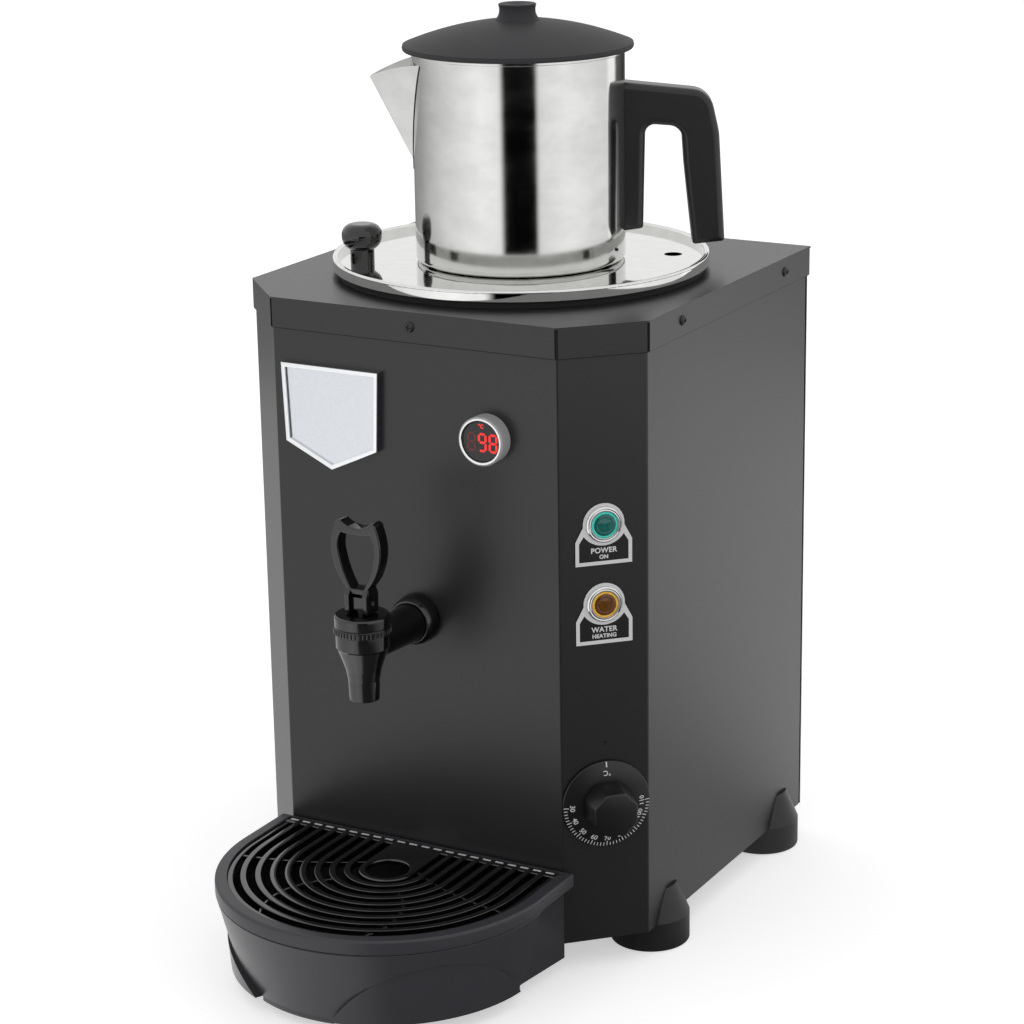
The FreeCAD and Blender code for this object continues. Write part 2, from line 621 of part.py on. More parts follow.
def add_arc(sketch, start, middle, end):
    """Add an arc and say which of its ends is the start."""
    centre = circle_through(start, middle, end)
    radius = (start - centre).Length
    turns_left = (middle - start).cross(end - middle).z > 0
    first, last = (start, end) if turns_left else (end, start)
    angles = [math.atan2((p - centre).y, (p - centre).x) for p in (first, last)]
    if angles[1] < angles[0]:
        angles[1] += 2 * math.pi
    circle = Part.Circle(centre, Vector(0, 0, 1), radius)
    index = sketch.addGeometry(Part.ArcOfCircle(circle, angles[0], angles[1]))
    return (index, 1, 2) if turns_left else (index, 2, 1)


def pin_point(sketch, index, end, point, texts):
    """Tie a point of the sketch to its two bound coordinates."""
    for kind, number, text in (("DistanceX", point.x, texts[0]), ("DistanceY", point.y, texts[1])):
        rule = sketch.addConstraint(Sketcher.Constraint(kind, -1, 1, index, end, number))
        tie(sketch, "Constraints[%d]" % rule, text)


def draw_loop(sketch, loop):
    """Closed outline: (x, y) is a corner, (x, y, radius) a rounded one, and ("via", x, y) makes
    the run between its neighbours an arc through that point."""
    corners = [item for item in loop if item[0] != "via"]
    via = {}
    for place, item in enumerate(loop):
        if item[0] == "via":
            via[len([one for one in loop[:place] if one[0] != "via"]) - 1] = item[1:]
    spots = [Vector(value(item[0]), value(item[1]), 0) for item in corners]
    count = len(corners)
    arrive, leave, rounds = [], [], {}
    for i, item in enumerate(corners):
        if len(item) == 2:
            arrive.append(spots[i])
            leave.append(spots[i])
            continue
        back = (spots[i - 1] - spots[i]).normalize()
        ahead = (spots[(i + 1) % count] - spots[i]).normalize()
        half = back.getAngle(ahead) / 2
        radius = value(item[2])
        arrive.append(spots[i] + back * (radius / math.tan(half)))
        leave.append(spots[i] + ahead * (radius / math.tan(half)))
        inward = (back + ahead).normalize()
        rounds[i] = spots[i] + inward * (radius / math.sin(half) - radius)
    runs = []
    for i in range(count):
        start, end = leave[i], arrive[(i + 1) % count]
        if i in via:
            middle = Vector(value(via[i][0]), value(via[i][1]), 0)
            runs.append(add_arc(sketch, start, middle, end))
            dot = sketch.addGeometry(Part.Point(middle), True)
            pin_point(sketch, dot, 1, middle, via[i])
            sketch.addConstraint(Sketcher.Constraint("PointOnObject", dot, 1, runs[-1][0]))
        else:
            runs.append((sketch.addGeometry(Part.LineSegment(start, end)), 1, 2))
    for i, item in enumerate(corners):
        before, after = runs[i - 1], runs[i]
        if i not in rounds:
            join = Sketcher.Constraint("Coincident", before[0], before[2], after[0], after[1])
            sketch.addConstraint(join)
            pin_point(sketch, after[0], after[1], spots[i], item)
            continue
        arc, first, last = add_arc(sketch, arrive[i], rounds[i], leave[i])
        dot = sketch.addGeometry(Part.Point(spots[i]), True)
        pin_point(sketch, dot, 1, spots[i], item)
        sketch.addConstraint(Sketcher.Constraint("PointOnObject", dot, 1, before[0]))
        sketch.addConstraint(Sketcher.Constraint("PointOnObject", dot, 1, after[0]))
        sketch.addConstraint(Sketcher.Constraint("Tangent", before[0], before[2], arc, first))
        sketch.addConstraint(Sketcher.Constraint("Tangent", arc, last, after[0], after[1]))
        rule = sketch.addConstraint(Sketcher.Constraint("Radius", arc, value(item[2])))
        tie(sketch, "Constraints[%d]" % rule, item[2])


def draw_circle(sketch, x, y, radius):
    spot = Vector(value(x), value(y), 0)
    ring = sketch.addGeometry(Part.Circle(spot, Vector(0, 0, 1), value(radius)))
    pin_point(sketch, ring, 3, spot, (x, y))
    rule = sketch.addConstraint(Sketcher.Constraint("Radius", ring, value(radius)))
    tie(sketch, "Constraints[%d]" % rule, radius)


def new_sketch(body, loops, role="XY_Plane", lift=("0", "0", "0"), turn=LEVEL):
    """Sketch on a plane of the body's origin, moved and turned in that plane's own axes."""
    sketch = body.newObject("Sketcher::SketchObject", body.Label + "_outline")
    plane = next(item for item in body.Origin.OriginFeatures if item.Role == role)
    sketch.AttachmentSupport = [(plane, "")]
    sketch.MapMode = "FlatFace"
    sketch.AttachmentOffset = Placement(Vector(*[value(text) for text in lift]), turn)
    for axis, text in zip("xyz", lift):
        tie(sketch, ".AttachmentOffset.Base." + axis, text)
    for loop in loops:
        if loop[0] == "circle":
            draw_circle(sketch, *loop[1:])
        else:
            draw_loop(sketch, loop)
    return sketch


def add_feature(body, kind, sketch, **settings):
    item = body.newObject("PartDesign::" + kind, body.Label + "_" + kind.lower())
    item.Profile = sketch
    for name, setting in settings.items():
        if name in ("Length", "Angle"):
            bind(item, name, setting)
        else:
            setattr(item, name, setting)
    return item


def pad(body, loops, length, role="XY_Plane", lift=("0", "0", "0"), turn=LEVEL, **more):
    """Raise the outlines along the sketch's normal."""
    return add_feature(body, "Pad", new_sketch(body, loops, role, lift, turn), Length=length, **more)


def cut(body, loops, length, role="XY_Plane", lift=("0", "0", "0"), turn=LEVEL, **more):
    """Cut the outlines away against the sketch's normal."""
    return add_feature(body, "Pocket", new_sketch(body, loops, role, lift, turn), Length=length, **more)


def turned(body, loop, kind="Revolution"):
    """Turn an outline of (radius, height) about the body's own Z axis."""
    sketch = new_sketch(body, [loop], "XZ_Plane")
    return add_feature(body, kind, sketch, ReferenceAxis=(sketch, ["V_Axis"]), Angle="360")


def loft(body, kind, low, high, low_z, high_z, role="XY_Plane"):
    """Loft between two outlines at two heights."""
    first = new_sketch(body, [low], role, ("0", "0", low_z))
    last = new_sketch(body, [high], role, ("0", "0", high_z))
    item = body.newObject("PartDesign::" + kind, body.Label + "_loft")
    item.Profile = first
    item.Sections = [last]
    item.Ruled = True
    return item


def polar(body, item, count):
    ring = body.newObject("PartDesign::PolarPattern", body.Label + "_ring")
    ring.Originals = [item]
    axis = next(line for line in body.Origin.OriginFeatures if line.Role == "Z_Axis")
    ring.Axis = (axis, [""])
    ring.Angle = 360
    ring.setExpression("Occurrences", bound(count))
    body.Tip = ring
    return ring


def round_edges(body, chosen, radius):
    """Round the edges of the last feature that the test chooses."""
    doc.recompute()
    last = body.Tip
    names = ["Edge%d" % (i + 1) for i, edge in enumerate(last.Shape.Edges) if chosen(edge)]
    item = body.newObject("PartDesign::Fillet", body.Label + "_rounding")
    item.Base = (last, names)
    bind(item, "Radius", radius)
    return item


def at_height(number, tolerance=CLOSE):
    """Test for edges that lie level at a height of the feature's own frame."""
    return lambda edge: abs(edge.BoundBox.ZMin - number) < tolerance > abs(edge.BoundBox.ZMax - number)


def minus(text):
    return "-(%s)" % text


def through(thickness):
    """Length of a cut that goes right through, with room to spare."""
    return "%s * %d" % (thickness, OVERSHOOT)


def mirrored(points):
    """Outline that is the same left and right of its axis, from its right half, bottom to top."""
    left = []
    for item in reversed(points):
        if item[0] == "via":
            left.append(("via", minus(item[1]), item[2]))
        else:
            left.append((minus(item[0]),) + tuple(item[1:]))
    return left


def casing_outline(offset, back, radius, back_round=None):
    """The casing's plan, set out by an offset, with its two front corners cut."""
    side = "half_width + (%s)" % offset
    shoulder = "-half_depth + corner_cut - mitre * (%s)" % offset
    nose = "half_width - corner_cut + mitre * (%s)" % offset
    front = "-half_depth - (%s)" % offset
    rear = (side, back, back_round) if back_round else (side, back)
    right = [(nose, front, radius), (side, shoulder, radius), rear]
    return mirrored(right) + right


def hexagon(flats):
    """Hexagon with two flats level."""
    half = "(%s) / 2" % flats
    corner = "(%s) / sqrt(3)" % flats
    knee = "(%s) / sqrt(3) / 2" % flats
    return [(corner, "0"), (knee, half), (minus(knee), half),
            (minus(corner), "0"), (minus(knee), minus(half)), (knee, minus(half))]


def octagon(flats):
    half = "(%s) / 2" % flats
    knee = "mitre * (%s) / 2" % flats
    return [(half, minus(knee)), (half, knee), (knee, half), (minus(knee), half),
            (minus(half), knee), (minus(half), minus(knee)), (minus(knee), minus(half)), (knee, minus(half))]


def tray_outline(half, back):
    """Half-round front, straight sides and a straight back."""
    turn_y = minus("tray_straight")
    return [(half, turn_y), (half, back), (minus(half), back), (minus(half), turn_y),
            ("via", "0", "-tray_straight - (%s)" % half)]


def tube(bore, outer, low, high):
    """Ring outline for turning."""
    return [(bore, low), (outer, low), (outer, high), (bore, high)]


fill_sheet()

# Casing: the wrapper is one folded sheet, open at the back, with a flange turned in on each side

WALL_HOLES = {
    "front": [
        ("circle", "0", "tap_height", "shank_radius + panel_hole_gap"),
        ("circle", "thermo_x", "thermo_height", "thermo_body + panel_hole_gap"),
    ],
    "chamfer": [
        ("circle", "0", "lamp_high", "lamp_body_radius + panel_hole_gap"),
        ("circle", "0", "lamp_low", "lamp_body_radius + panel_hole_gap"),
        ("circle", "0", "thermostat_height", "bush_radius + panel_hole_gap"),
    ],
}


def back_screw_places():
    """Across and up from the casing's bottom edge."""
    heights = ("back_screw_margin", "casing_rise / 2", "casing_rise - back_screw_margin - cover_drop")
    across = "half_width - back_screw_edge"
    return [(x, z) for x in (across, minus(across)) for z in heights]


def make_housing_shell():
    body = new_body("housing_shell", ("0", "centre_y", "foot_height"))
    outer, inner = "bend_radius + casing_sheet", "bend_radius"
    sides = casing_outline("0", "back_wall", outer, outer)
    lining = casing_outline(minus("casing_sheet"), "back_wall - casing_sheet", inner, inner)
    flange = "half_width - return_width"
    loop = [(minus(flange), "back_wall")] + sides + [(flange, "back_wall")]
    loop += [(flange, "back_wall - casing_sheet")] + lining[::-1]
    loop += [(minus(flange), "back_wall - casing_sheet")]
    pad(body, [loop], "casing_rise")
    depth = through("casing_sheet")
    cut(body, WALL_HOLES["front"], depth, "XZ_Plane", ("0", "0", "half_depth"), SideType="Symmetric")
    cut(body, WALL_HOLES["chamfer"], depth, "XZ_Plane",
        ("half_width - corner_cut / 2", "0", "half_depth - corner_cut / 2"),
        Rotation(Vector(0, 1, 0), 45), SideType="Symmetric")
    holes = [("circle", x, z, "screw_radius + screw_clearance") for x, z in back_screw_places()]
    cut(body, holes, depth, "XZ_Plane", ("0", "0", minus("back_wall")), SideType="Symmetric")
    screw_z = "casing_rise + cover_headroom + cover_sheet - cover_screw_drop"
    front_hole = ("circle", "cover_screw_front", screw_z, "screw_radius + screw_clearance")
    cut(body, [front_hole], depth, "XZ_Plane", ("0", "0", "half_depth"), SideType="Symmetric")
    side_holes = [("circle", y, screw_z, "screw_radius + screw_clearance")
                  for y in ("cover_screw_far", minus("cover_screw_near"))]
    for x in ("half_width", minus("half_width")):
        cut(body, side_holes, depth, "YZ_Plane", ("0", "0", x), SideType="Symmetric")


def make_back_panel():
    body = new_body("back_panel", ("0", "back_y", "foot_height"), BACK)
    outline = [(minus("half_width"), "0"), ("half_width", "0"),
               ("half_width", "casing_rise"), (minus("half_width"), "casing_rise")]
    holes = [("circle", x, z, "screw_radius + screw_clearance") for x, z in back_screw_places()]
    holes.append(("circle", minus("gland_x"), "gland_z", "gland_thread + panel_hole_gap"))
    high = "casing_rise + cover_headroom + cover_sheet - cover_screw_drop"
    holes.append(("circle", "cover_screw_front", high, "screw_radius + screw_clearance"))
    pad(body, [outline] + holes, "back_sheet", lift=("0", "0", minus("back_sheet")))


def make_base_pan():
    body = new_body("base_pan", ("0", "centre_y", "foot_height"))
    inset = minus("casing_sheet")
    back = "back_wall - casing_sheet"
    pad(body, [casing_outline(inset, back, "bend_radius", "bend_radius")], "pan_height")
    inside = casing_outline("-casing_sheet - pan_sheet", back + " - pan_sheet", "bend_radius")
    cut(body, [inside], "pan_height - pan_sheet", lift=("0", "0", "pan_height"))
    holes = [("circle", x, y, "foot_screw_radius + screw_clearance") for x, y in foot_places()]
    cut(body, holes, through("pan_sheet"), SideType="Symmetric")


def make_top_cover():
    body = new_body("top_cover", ("0", "centre_y", "cover_top - cover_drop"))
    edge = "cover_gap + cover_sheet"
    outline = casing_outline(edge, "half_depth + " + edge, "bend_radius + cover_sheet")
    pad(body, [outline], "cover_drop")
    inside = casing_outline("cover_gap", "half_depth + cover_gap", "bend_radius")
    cut(body, [inside], "cover_drop - cover_sheet", lift=("0", "0", "cover_drop - cover_sheet"))
    cut(body, [("circle", "0", "0", "tank_radius + tank_opening_gap")], through("cover_sheet"),
        lift=("0", "0", "cover_drop"))
    middle = "cover_gap + cover_sheet / 2"
    corners = casing_outline(middle, "half_depth + " + middle, "0")
    slits = [("circle", item[0], item[1], "slit_radius") for item in corners]
    cut(body, slits, "cover_drop - cover_sheet", lift=("0", "0", "cover_drop - cover_sheet"))
    drop = "cover_drop - cover_screw_drop"
    hole = ("circle", "cover_screw_front", drop, "screw_radius + screw_clearance")
    for y in ("half_depth", minus("half_depth")):
        cut(body, [hole], through("cover_sheet"), "XZ_Plane", ("0", "0", y), SideType="Symmetric")
    holes = [("circle", y, drop, "screw_radius + screw_clearance")
             for y in ("cover_screw_far", minus("cover_screw_near"))]
    for x in ("half_width", minus("half_width")):
        cut(body, holes, through("cover_sheet"), "YZ_Plane", ("0", "0", x), SideType="Symmetric")


def make_screw(name, at, turn, head_radius, head_height, radius, length):
    """Round head outside its seat and a shank behind it, along the frame's own Z."""
    head = doc.addObject("Part::Cylinder", name + "_head")
    bind(head, "Radius", head_radius)
    bind(head, "Height", head_height)
    shank = doc.addObject("Part::Cylinder", name + "_shank")
    bind(shank, "Radius", radius)
    bind(shank, "Height", length)
    put(shank, ("0", "0", minus(length)))
    screw = doc.addObject("Part::Fuse", name)
    screw.Base = head
    screw.Tool = shank
    put(screw, at, turn)
    return screw


def make_group(label, parts):
    group = doc.addObject("Part::Compound", label)
    group.Label = label
    group.Links = parts
    pieces.append(group)


def make_casing_screws():
    sizes = ("screw_head_radius", "screw_head_height", "screw_radius", "screw_length")
    z = "cover_top - cover_screw_drop"
    out_x, out = "half_width + cover_gap + cover_sheet", "half_depth + cover_gap + cover_sheet"
    near, far = "centre_y - cover_screw_near", "centre_y + cover_screw_far"
    places = [(("cover_screw_front", "centre_y - (%s)" % out, z), FRONT),
              (("cover_screw_front", "centre_y + " + out, z), BACK)]
    for y in (near, far):
        places.append(((out_x, y, z), SIDE))
        places.append(((minus(out_x), y, z), LEFT))
    parts = [make_screw("cover_screw_%d" % i, at, turn, *sizes) for i, (at, turn) in enumerate(places)]
    make_group("cover_screws", parts)
    parts = []
    for i, (x, height) in enumerate(back_screw_places()):
        at = (minus(x), "back_y", "foot_height + " + height)
        parts.append(make_screw("back_screw_%d" % i, at, BACK, *sizes))
    make_group("back_screws", parts)


# Feet: moulded feet under the four corners, each with a petal that climbs the side wall


def foot_places():
    x = "half_width - foot_inset"
    near, far = "foot_front + corner_cut - half_depth", "half_depth - foot_back"
    return [(minus(x), near), (x, near), (minus(x), far), (x, far)]


def make_feet():
    names = ("foot_front_left", "foot_front_right", "foot_back_left", "foot_back_right")
    screws = []
    for i, (label, (x, y)) in enumerate(zip(names, foot_places())):
        outward = LEVEL if i % 2 else Rotation(Vector(0, 0, 1), 180)
        body = new_body(label, (x, "centre_y + " + y, "0"), outward)
        top = "foot_height + petal_rise"
        turned(body, [("foot_bore", "foot_well_depth"), ("foot_well", "foot_well_depth"),
                      ("foot_well", "0"), ("foot_radius", "0", "foot_edge"),
                      ("foot_radius", "foot_height"), ("petal_radius", top), ("foot_bore", top)])
        wide = "foot_radius * 2"
        inner = [(minus(wide), minus(wide)), ("foot_inset + foot_gap", minus(wide)),
                 ("foot_inset + foot_gap", wide), (minus(wide), wide)]
        cut(body, [inner], "petal_rise", lift=("0", "0", top))
        at = (x, "centre_y + " + y, "foot_well_depth")
        down = Rotation(Vector(1, 0, 0), 180)
        length = "foot_height - foot_well_depth + pan_sheet + foot_screw_grip"
        screws.append(make_screw("foot_screw_%d" % i, at, down, "foot_screw_head",
                                 "foot_screw_head_height", "foot_screw_radius", length))
    make_group("foot_screws", screws)


# Tank: a spun stainless pot that hangs by its rolled rim, with welded fittings for tap and sensors


def make_tank():
    body = new_body("tank", ("0", "centre_y", "floor_z"))
    inside = "tank_radius - tank_wall"
    under = "tank_rise - rim_height"
    turned(body, [("0", minus("tank_wall")), ("tank_radius", minus("tank_wall"), "tank_corner"),
                  ("tank_radius", under), ("rim_radius", under, "rim_round"),
                  ("rim_radius", "tank_rise", "rim_round"), (inside, "tank_rise"),
                  (inside, "0", "tank_corner - tank_wall"), ("0", "0")])
    pad(body, [("circle", "0", "tank_sump", "boss_radius")], "boss_reach + tank_wall", "XZ_Plane",
        ("0", "0", inside))
    pad(body, [("circle", "probe_x", "probe_rise", "probe_boss")],
        "probe_stub + tank_radius - sqrt(tank_radius ^ 2 - probe_x ^ 2)", "XZ_Plane",
        ("0", "0", "sqrt((%s) ^ 2 - probe_x ^ 2)" % inside))
    diagonal = Rotation(Vector(0, 1, 0), 45)
    reach = "tank_radius + well_stub"
    outward = "(%s) / sqrt(2)" % reach
    cut(body, [("circle", "0", "well_rise", "well_radius")], through("well_stub"), "XZ_Plane",
        (outward, "0", outward), diagonal)
    pad(body, [("circle", "0", "well_rise", "well_radius")], "well_length + well_stub", "XZ_Plane",
        (outward, "0", outward), diagonal, Reversed=True)
    cut(body, [("circle", "0", "well_rise", "well_bore")], "well_length + well_stub - tank_wall * 2",
        "XZ_Plane", (outward, "0", outward), diagonal)
    cut(body, [("circle", "0", "tank_sump", "shank_radius + fit_gap")], through("boss_reach"), "XZ_Plane",
        ("0", "0", "tank_radius + boss_reach"))
    cut(body, [("circle", "probe_x", "probe_rise", "probe_radius + fit_gap")], "probe_length", "XZ_Plane",
        ("0", "0", "tank_radius + probe_stub"))
    cut(body, [("circle", "0", "0", "heater_thread + heater_clearance")], through("tank_wall"),
        SideType="Symmetric")
    ring = new_body("tank_gasket", ("0", "centre_y", "cover_top"))
    turned(ring, tube("tank_radius + gasket_clearance", "rim_radius + gasket_lip", "0", "gasket_height"))
    at = ("probe_x", "centre_y - tank_radius", "floor_z + probe_rise")
    probe = new_body("thermometer_probe", at, FRONT)
    turned(probe, [("0", minus("probe_length - probe_stub")),
                   ("probe_radius", minus("probe_length - probe_stub"), "probe_radius / 2"),
                   ("probe_radius", "probe_stub"), ("0", "probe_stub")])


def sweep(label, edges, radius, start, direction):
    """Round tube along a smooth path."""
    path = Part.Wire(edges)
    section = Part.Wire([Part.makeCircle(radius, start, direction)])
    item = doc.addObject("Part::Feature", label)
    item.Label = label
    item.Shape = path.makePipeShell([section], True, False)
    print(label, "volume over section times length",
          round(item.Shape.Volume / (math.pi * radius ** 2 * path.Length), 4))
    pieces.append(item)
    return item


def make_heating_element():
    """Two legs rise from the head, run forward and open into one loop."""
    pitch, bend, ring = value("heater_pitch"), value("heater_bend"), value("heater_ring")
    low = -value("tank_wall + heater_packing + heater_stub")
    high, leg = value("heater_rise"), value("heater_leg")
    meet = Vector(pitch + bend, -leg, high)
    ratio = ring / (ring - bend)
    touch = Vector(meet.x * ratio, meet.y * ratio, high)
    along = math.atan2(touch.y, touch.x)
    share = (along + math.pi) / 2 + math.pi
    turn_mid = meet + Vector(math.cos(share), math.sin(share), 0) * bend
    low_mid = Vector(pitch, -bend * (1 - math.sqrt(0.5)), high - bend * (1 - math.sqrt(0.5)))

    def other(spot):
        return Vector(-spot.x, spot.y, spot.z)

    right = [Part.makeLine(Vector(pitch, 0, low), Vector(pitch, 0, high - bend)),
             Part.Arc(Vector(pitch, 0, high - bend), low_mid, Vector(pitch, -bend, high)).toShape(),
             Part.makeLine(Vector(pitch, -bend, high), Vector(pitch, -leg, high)),
             Part.Arc(Vector(pitch, -leg, high), turn_mid, touch).toShape()]
    loop = Part.Arc(touch, Vector(0, ring, high), other(touch)).toShape()
    left = [Part.Arc(other(touch), other(turn_mid), Vector(-pitch, -leg, high)).toShape(),
            Part.makeLine(Vector(-pitch, -leg, high), Vector(-pitch, -bend, high)),
            Part.Arc(Vector(-pitch, -bend, high), other(low_mid), Vector(-pitch, 0, high - bend)).toShape(),
            Part.makeLine(Vector(-pitch, 0, high - bend), Vector(-pitch, 0, low))]
    item = sweep("heating_element", right + [loop] + left, value("heater_tube"),
                 Vector(pitch, 0, low), Vector(0, 0, 1))
    put(item, ("0", "centre_y", "floor_z"))


def make_heater_fittings():
    at = ("0", "centre_y", "floor_z")
    under = "tank_wall + heater_packing"
    head = new_body("heater_head", at)
    turned(head, [("0", "-(%s) - heater_flange_height" % under),
                  ("heater_flange", "-(%s) - heater_flange_height" % under),
                  ("heater_flange", minus(under)), ("heater_thread", minus(under)),
                  ("heater_thread", "heater_nut_height + heater_thread_end"),
                  ("0", "heater_nut_height + heater_thread_end")])
    legs = [("circle", x, "0", "heater_tube") for x in ("heater_pitch", minus("heater_pitch"))]
    cut(head, legs, "heater_nut_height + heater_thread_end + tank_wall + heater_packing + heater_stub",
        lift=("0", "0", "heater_nut_height + heater_thread_end"))
    pins = [("circle", x, "0", "heater_tube / 2") for x in ("heater_pitch", minus("heater_pitch"))]
    pad(head, pins, "heater_pins", lift=("0", "0", "-(%s) - heater_flange_height" % under), Reversed=True)
    packing = new_body("heater_gasket", at)
    bore = "heater_thread + heater_clearance"
    turned(packing, tube(bore, "heater_flange", minus(under), minus("tank_wall")))
    nut = new_body("heater_nut", at)
    pad(nut, [hexagon("heater_nut_flats"), ("circle", "0", "0", "heater_thread")], "heater_nut_height")
    at = ("limiter_place", "centre_y + limiter_place", "floor_z - tank_wall")
    limiter = new_body("overheat_limiter", at)
    foot = minus("limiter_height")
    turned(limiter, [("0", foot), ("limiter_radius", foot, "limiter_edge"), ("limiter_radius", "0"),
                     ("0", "0")])


def make_terminal_block():
    body = new_body("terminal_block", ("0", "centre_y + terminal_place", "foot_height + pan_sheet"))
    outline = [(minus("terminal_length / 2"), minus("terminal_width / 2")),
               ("terminal_length / 2", minus("terminal_width / 2")),
               ("terminal_length / 2", "terminal_width / 2"),
               (minus("terminal_length / 2"), "terminal_width / 2")]
    pad(body, [outline], "terminal_height")
    pitch = "terminal_length / terminal_count"
    count = int(value("terminal_count"))
    ways = [("circle", "(%d + 0.5) * %s - terminal_length / 2" % (i, pitch), "terminal_height / 2",
             "terminal_bore") for i in range(count)]
    cut(body, ways, "terminal_width", "XZ_Plane", ("0", "0", "terminal_width / 2"))


# Tap: the lever turns on a pin through the stem, and its toes lift the stem off the valve seat


def make_tap_body():
    body = new_body("tap_body", ("0", "tap_y", "tap_z"))
    turned(body, [("outlet_radius", minus("nozzle_length")), ("nozzle_end", minus("nozzle_length")),
                  ("nozzle_radius", minus("nozzle_drop")), ("neck_radius", minus("neck_drop")),
                  ("throat_radius", minus("throat_drop")), ("barrel_radius", "barrel_foot"),
                  ("barrel_radius", "barrel_top"), ("chamber_radius", "barrel_top"),
                  ("chamber_radius", minus("chamber_drop")), ("outlet_radius", minus("chamber_drop"))])
    wall = minus("tap_reach")
    start = "(chamber_radius + barrel_radius) / 2"
    near = new_sketch(body, [("circle", "0", "0", "arm_far")], "XZ_Plane", ("0", "0", minus(start)))
    far = new_sketch(body, [("circle", "0", "0", "arm_near")], "XZ_Plane", ("0", "0", wall))
    arm = body.newObject("PartDesign::AdditiveLoft", "tap_arm")
    arm.Profile = near
    arm.Sections = [far]
    arm.Ruled = True
    shank = "boss_gap + boss_reach + tank_wall + shank_inside"
    pad(body, [("circle", "0", "0", "shank_radius")], shank, "XZ_Plane", ("0", "0", wall), Reversed=True)
    cut(body, [("circle", "0", "0", "inlet_radius")], "tap_reach + " + shank, "XZ_Plane", ("0", "0", "0"))


def make_tap_fittings():
    wall = ("0", "front_y", "tap_z")
    collar = new_body("tap_collar", wall, FRONT)
    turned(collar, [("arm_near + fit_gap", "0"), ("collar_radius", "0"), ("collar_radius", "collar_flange"),
                    ("collar_mouth", "collar_length"), ("arm_near + fit_gap", "collar_length")])
    nut = new_body("tap_nut", wall, FRONT)
    pad(nut, [hexagon("tap_nut_flats"), ("circle", "0", "0", "shank_radius")], "tap_nut_height",
        lift=("0", "0", "-casing_sheet - tap_nut_height"))
    seal = new_body("tap_gasket", wall, FRONT)
    bore = "shank_radius + fit_gap"
    turned(seal, tube(bore, "tap_seal_radius", minus("boss_gap"), "-casing_sheet - tap_nut_height"))
    bonnet = new_body("tap_bonnet", ("0", "tap_y", "tap_z"))
    ring_top = "barrel_top + bonnet_ring_height"
    roof = "bonnet_z - bonnet_roof"
    turned(bonnet, [("spring_room", "barrel_top - bonnet_spigot_drop"),
                    ("bonnet_spigot", "barrel_top - bonnet_spigot_drop"),
                    ("bonnet_spigot", "barrel_top"), ("bonnet_ring", "barrel_top"),
                    ("bonnet_ring", ring_top), ("bonnet_radius", ring_top),
                    ("bonnet_radius", "bonnet_z", "bonnet_edge"),
                    ("stem_radius + stem_gap", "bonnet_z"), ("stem_radius + stem_gap", roof),
                    ("spring_room", roof)])
    flute = cut(bonnet, [("circle", "bonnet_ring + knurl_radius / 3", "0", "knurl_radius")],
                "bonnet_ring_height", lift=("0", "0", ring_top))
    polar(bonnet, flute, "knurl_count")


def make_tap_stem():
    at = ("0", "tap_y", "tap_z")
    body = new_body("tap_stem", at)
    grip = "cup_height - cup_grip - chamber_drop"
    pad(body, [("circle", "0", "0", "stem_radius")], "pin_z - (%s)" % grip, lift=("0", "0", grip))
    half, deep = "stem_block_width / 2", "stem_block_depth / 2"
    block = [(minus(half), minus(deep)), (half, minus(deep)), (half, deep), (minus(half), deep)]
    low = "max(pin_z - stem_shoulder; bonnet_z + leg_gap)"
    pad(body, [block], "pin_z + stem_crown - %s" % low, lift=("0", "0", low))
    cut(body, [("circle", "0", "pin_z", "pin_radius")], through("stem_block_width"), "YZ_Plane",
        SideType="Symmetric")
    cup = new_body("tap_cup", at)
    seat = minus("chamber_drop")
    turned(cup, [("0", seat), ("cup_foot", seat), ("cup_radius", "cup_height - chamber_drop"),
                 ("stem_radius", "cup_height - chamber_drop"), ("stem_radius", grip), ("0", grip)])
    pin = new_body("tap_pin", ("0", "tap_y", "tap_z + pin_z"), SIDE)
    turned(pin, [("0", minus("leg_outer")), ("pin_radius", minus("leg_outer")),
                 ("pin_radius", "leg_outer"), ("0", "leg_outer")])


def make_tap_spring():
    """Helical wire between the cup and the bonnet's roof."""
    radius, wire = value("spring_radius"), value("spring_wire")
    low = value("cup_height - chamber_drop + spring_gap + spring_wire")
    high = value("bonnet_z - bonnet_roof - spring_gap - spring_wire")
    pitch = (high - low) / value("spring_turns")
    coil = Part.makeHelix(pitch, high - low, radius)
    section = Part.Wire([Part.makeCircle(wire, Vector(radius, 0, 0), Vector(0, 1, 0))])
    item = doc.addObject("Part::Feature", "tap_spring")
    item.Label = "tap_spring"
    item.Shape = Part.Wire(coil.Edges).makePipeShell([section], True, True)
    pieces.append(item)
    put(item, ("0", "tap_y", "tap_z + cup_height - chamber_drop + spring_gap + spring_wire"))


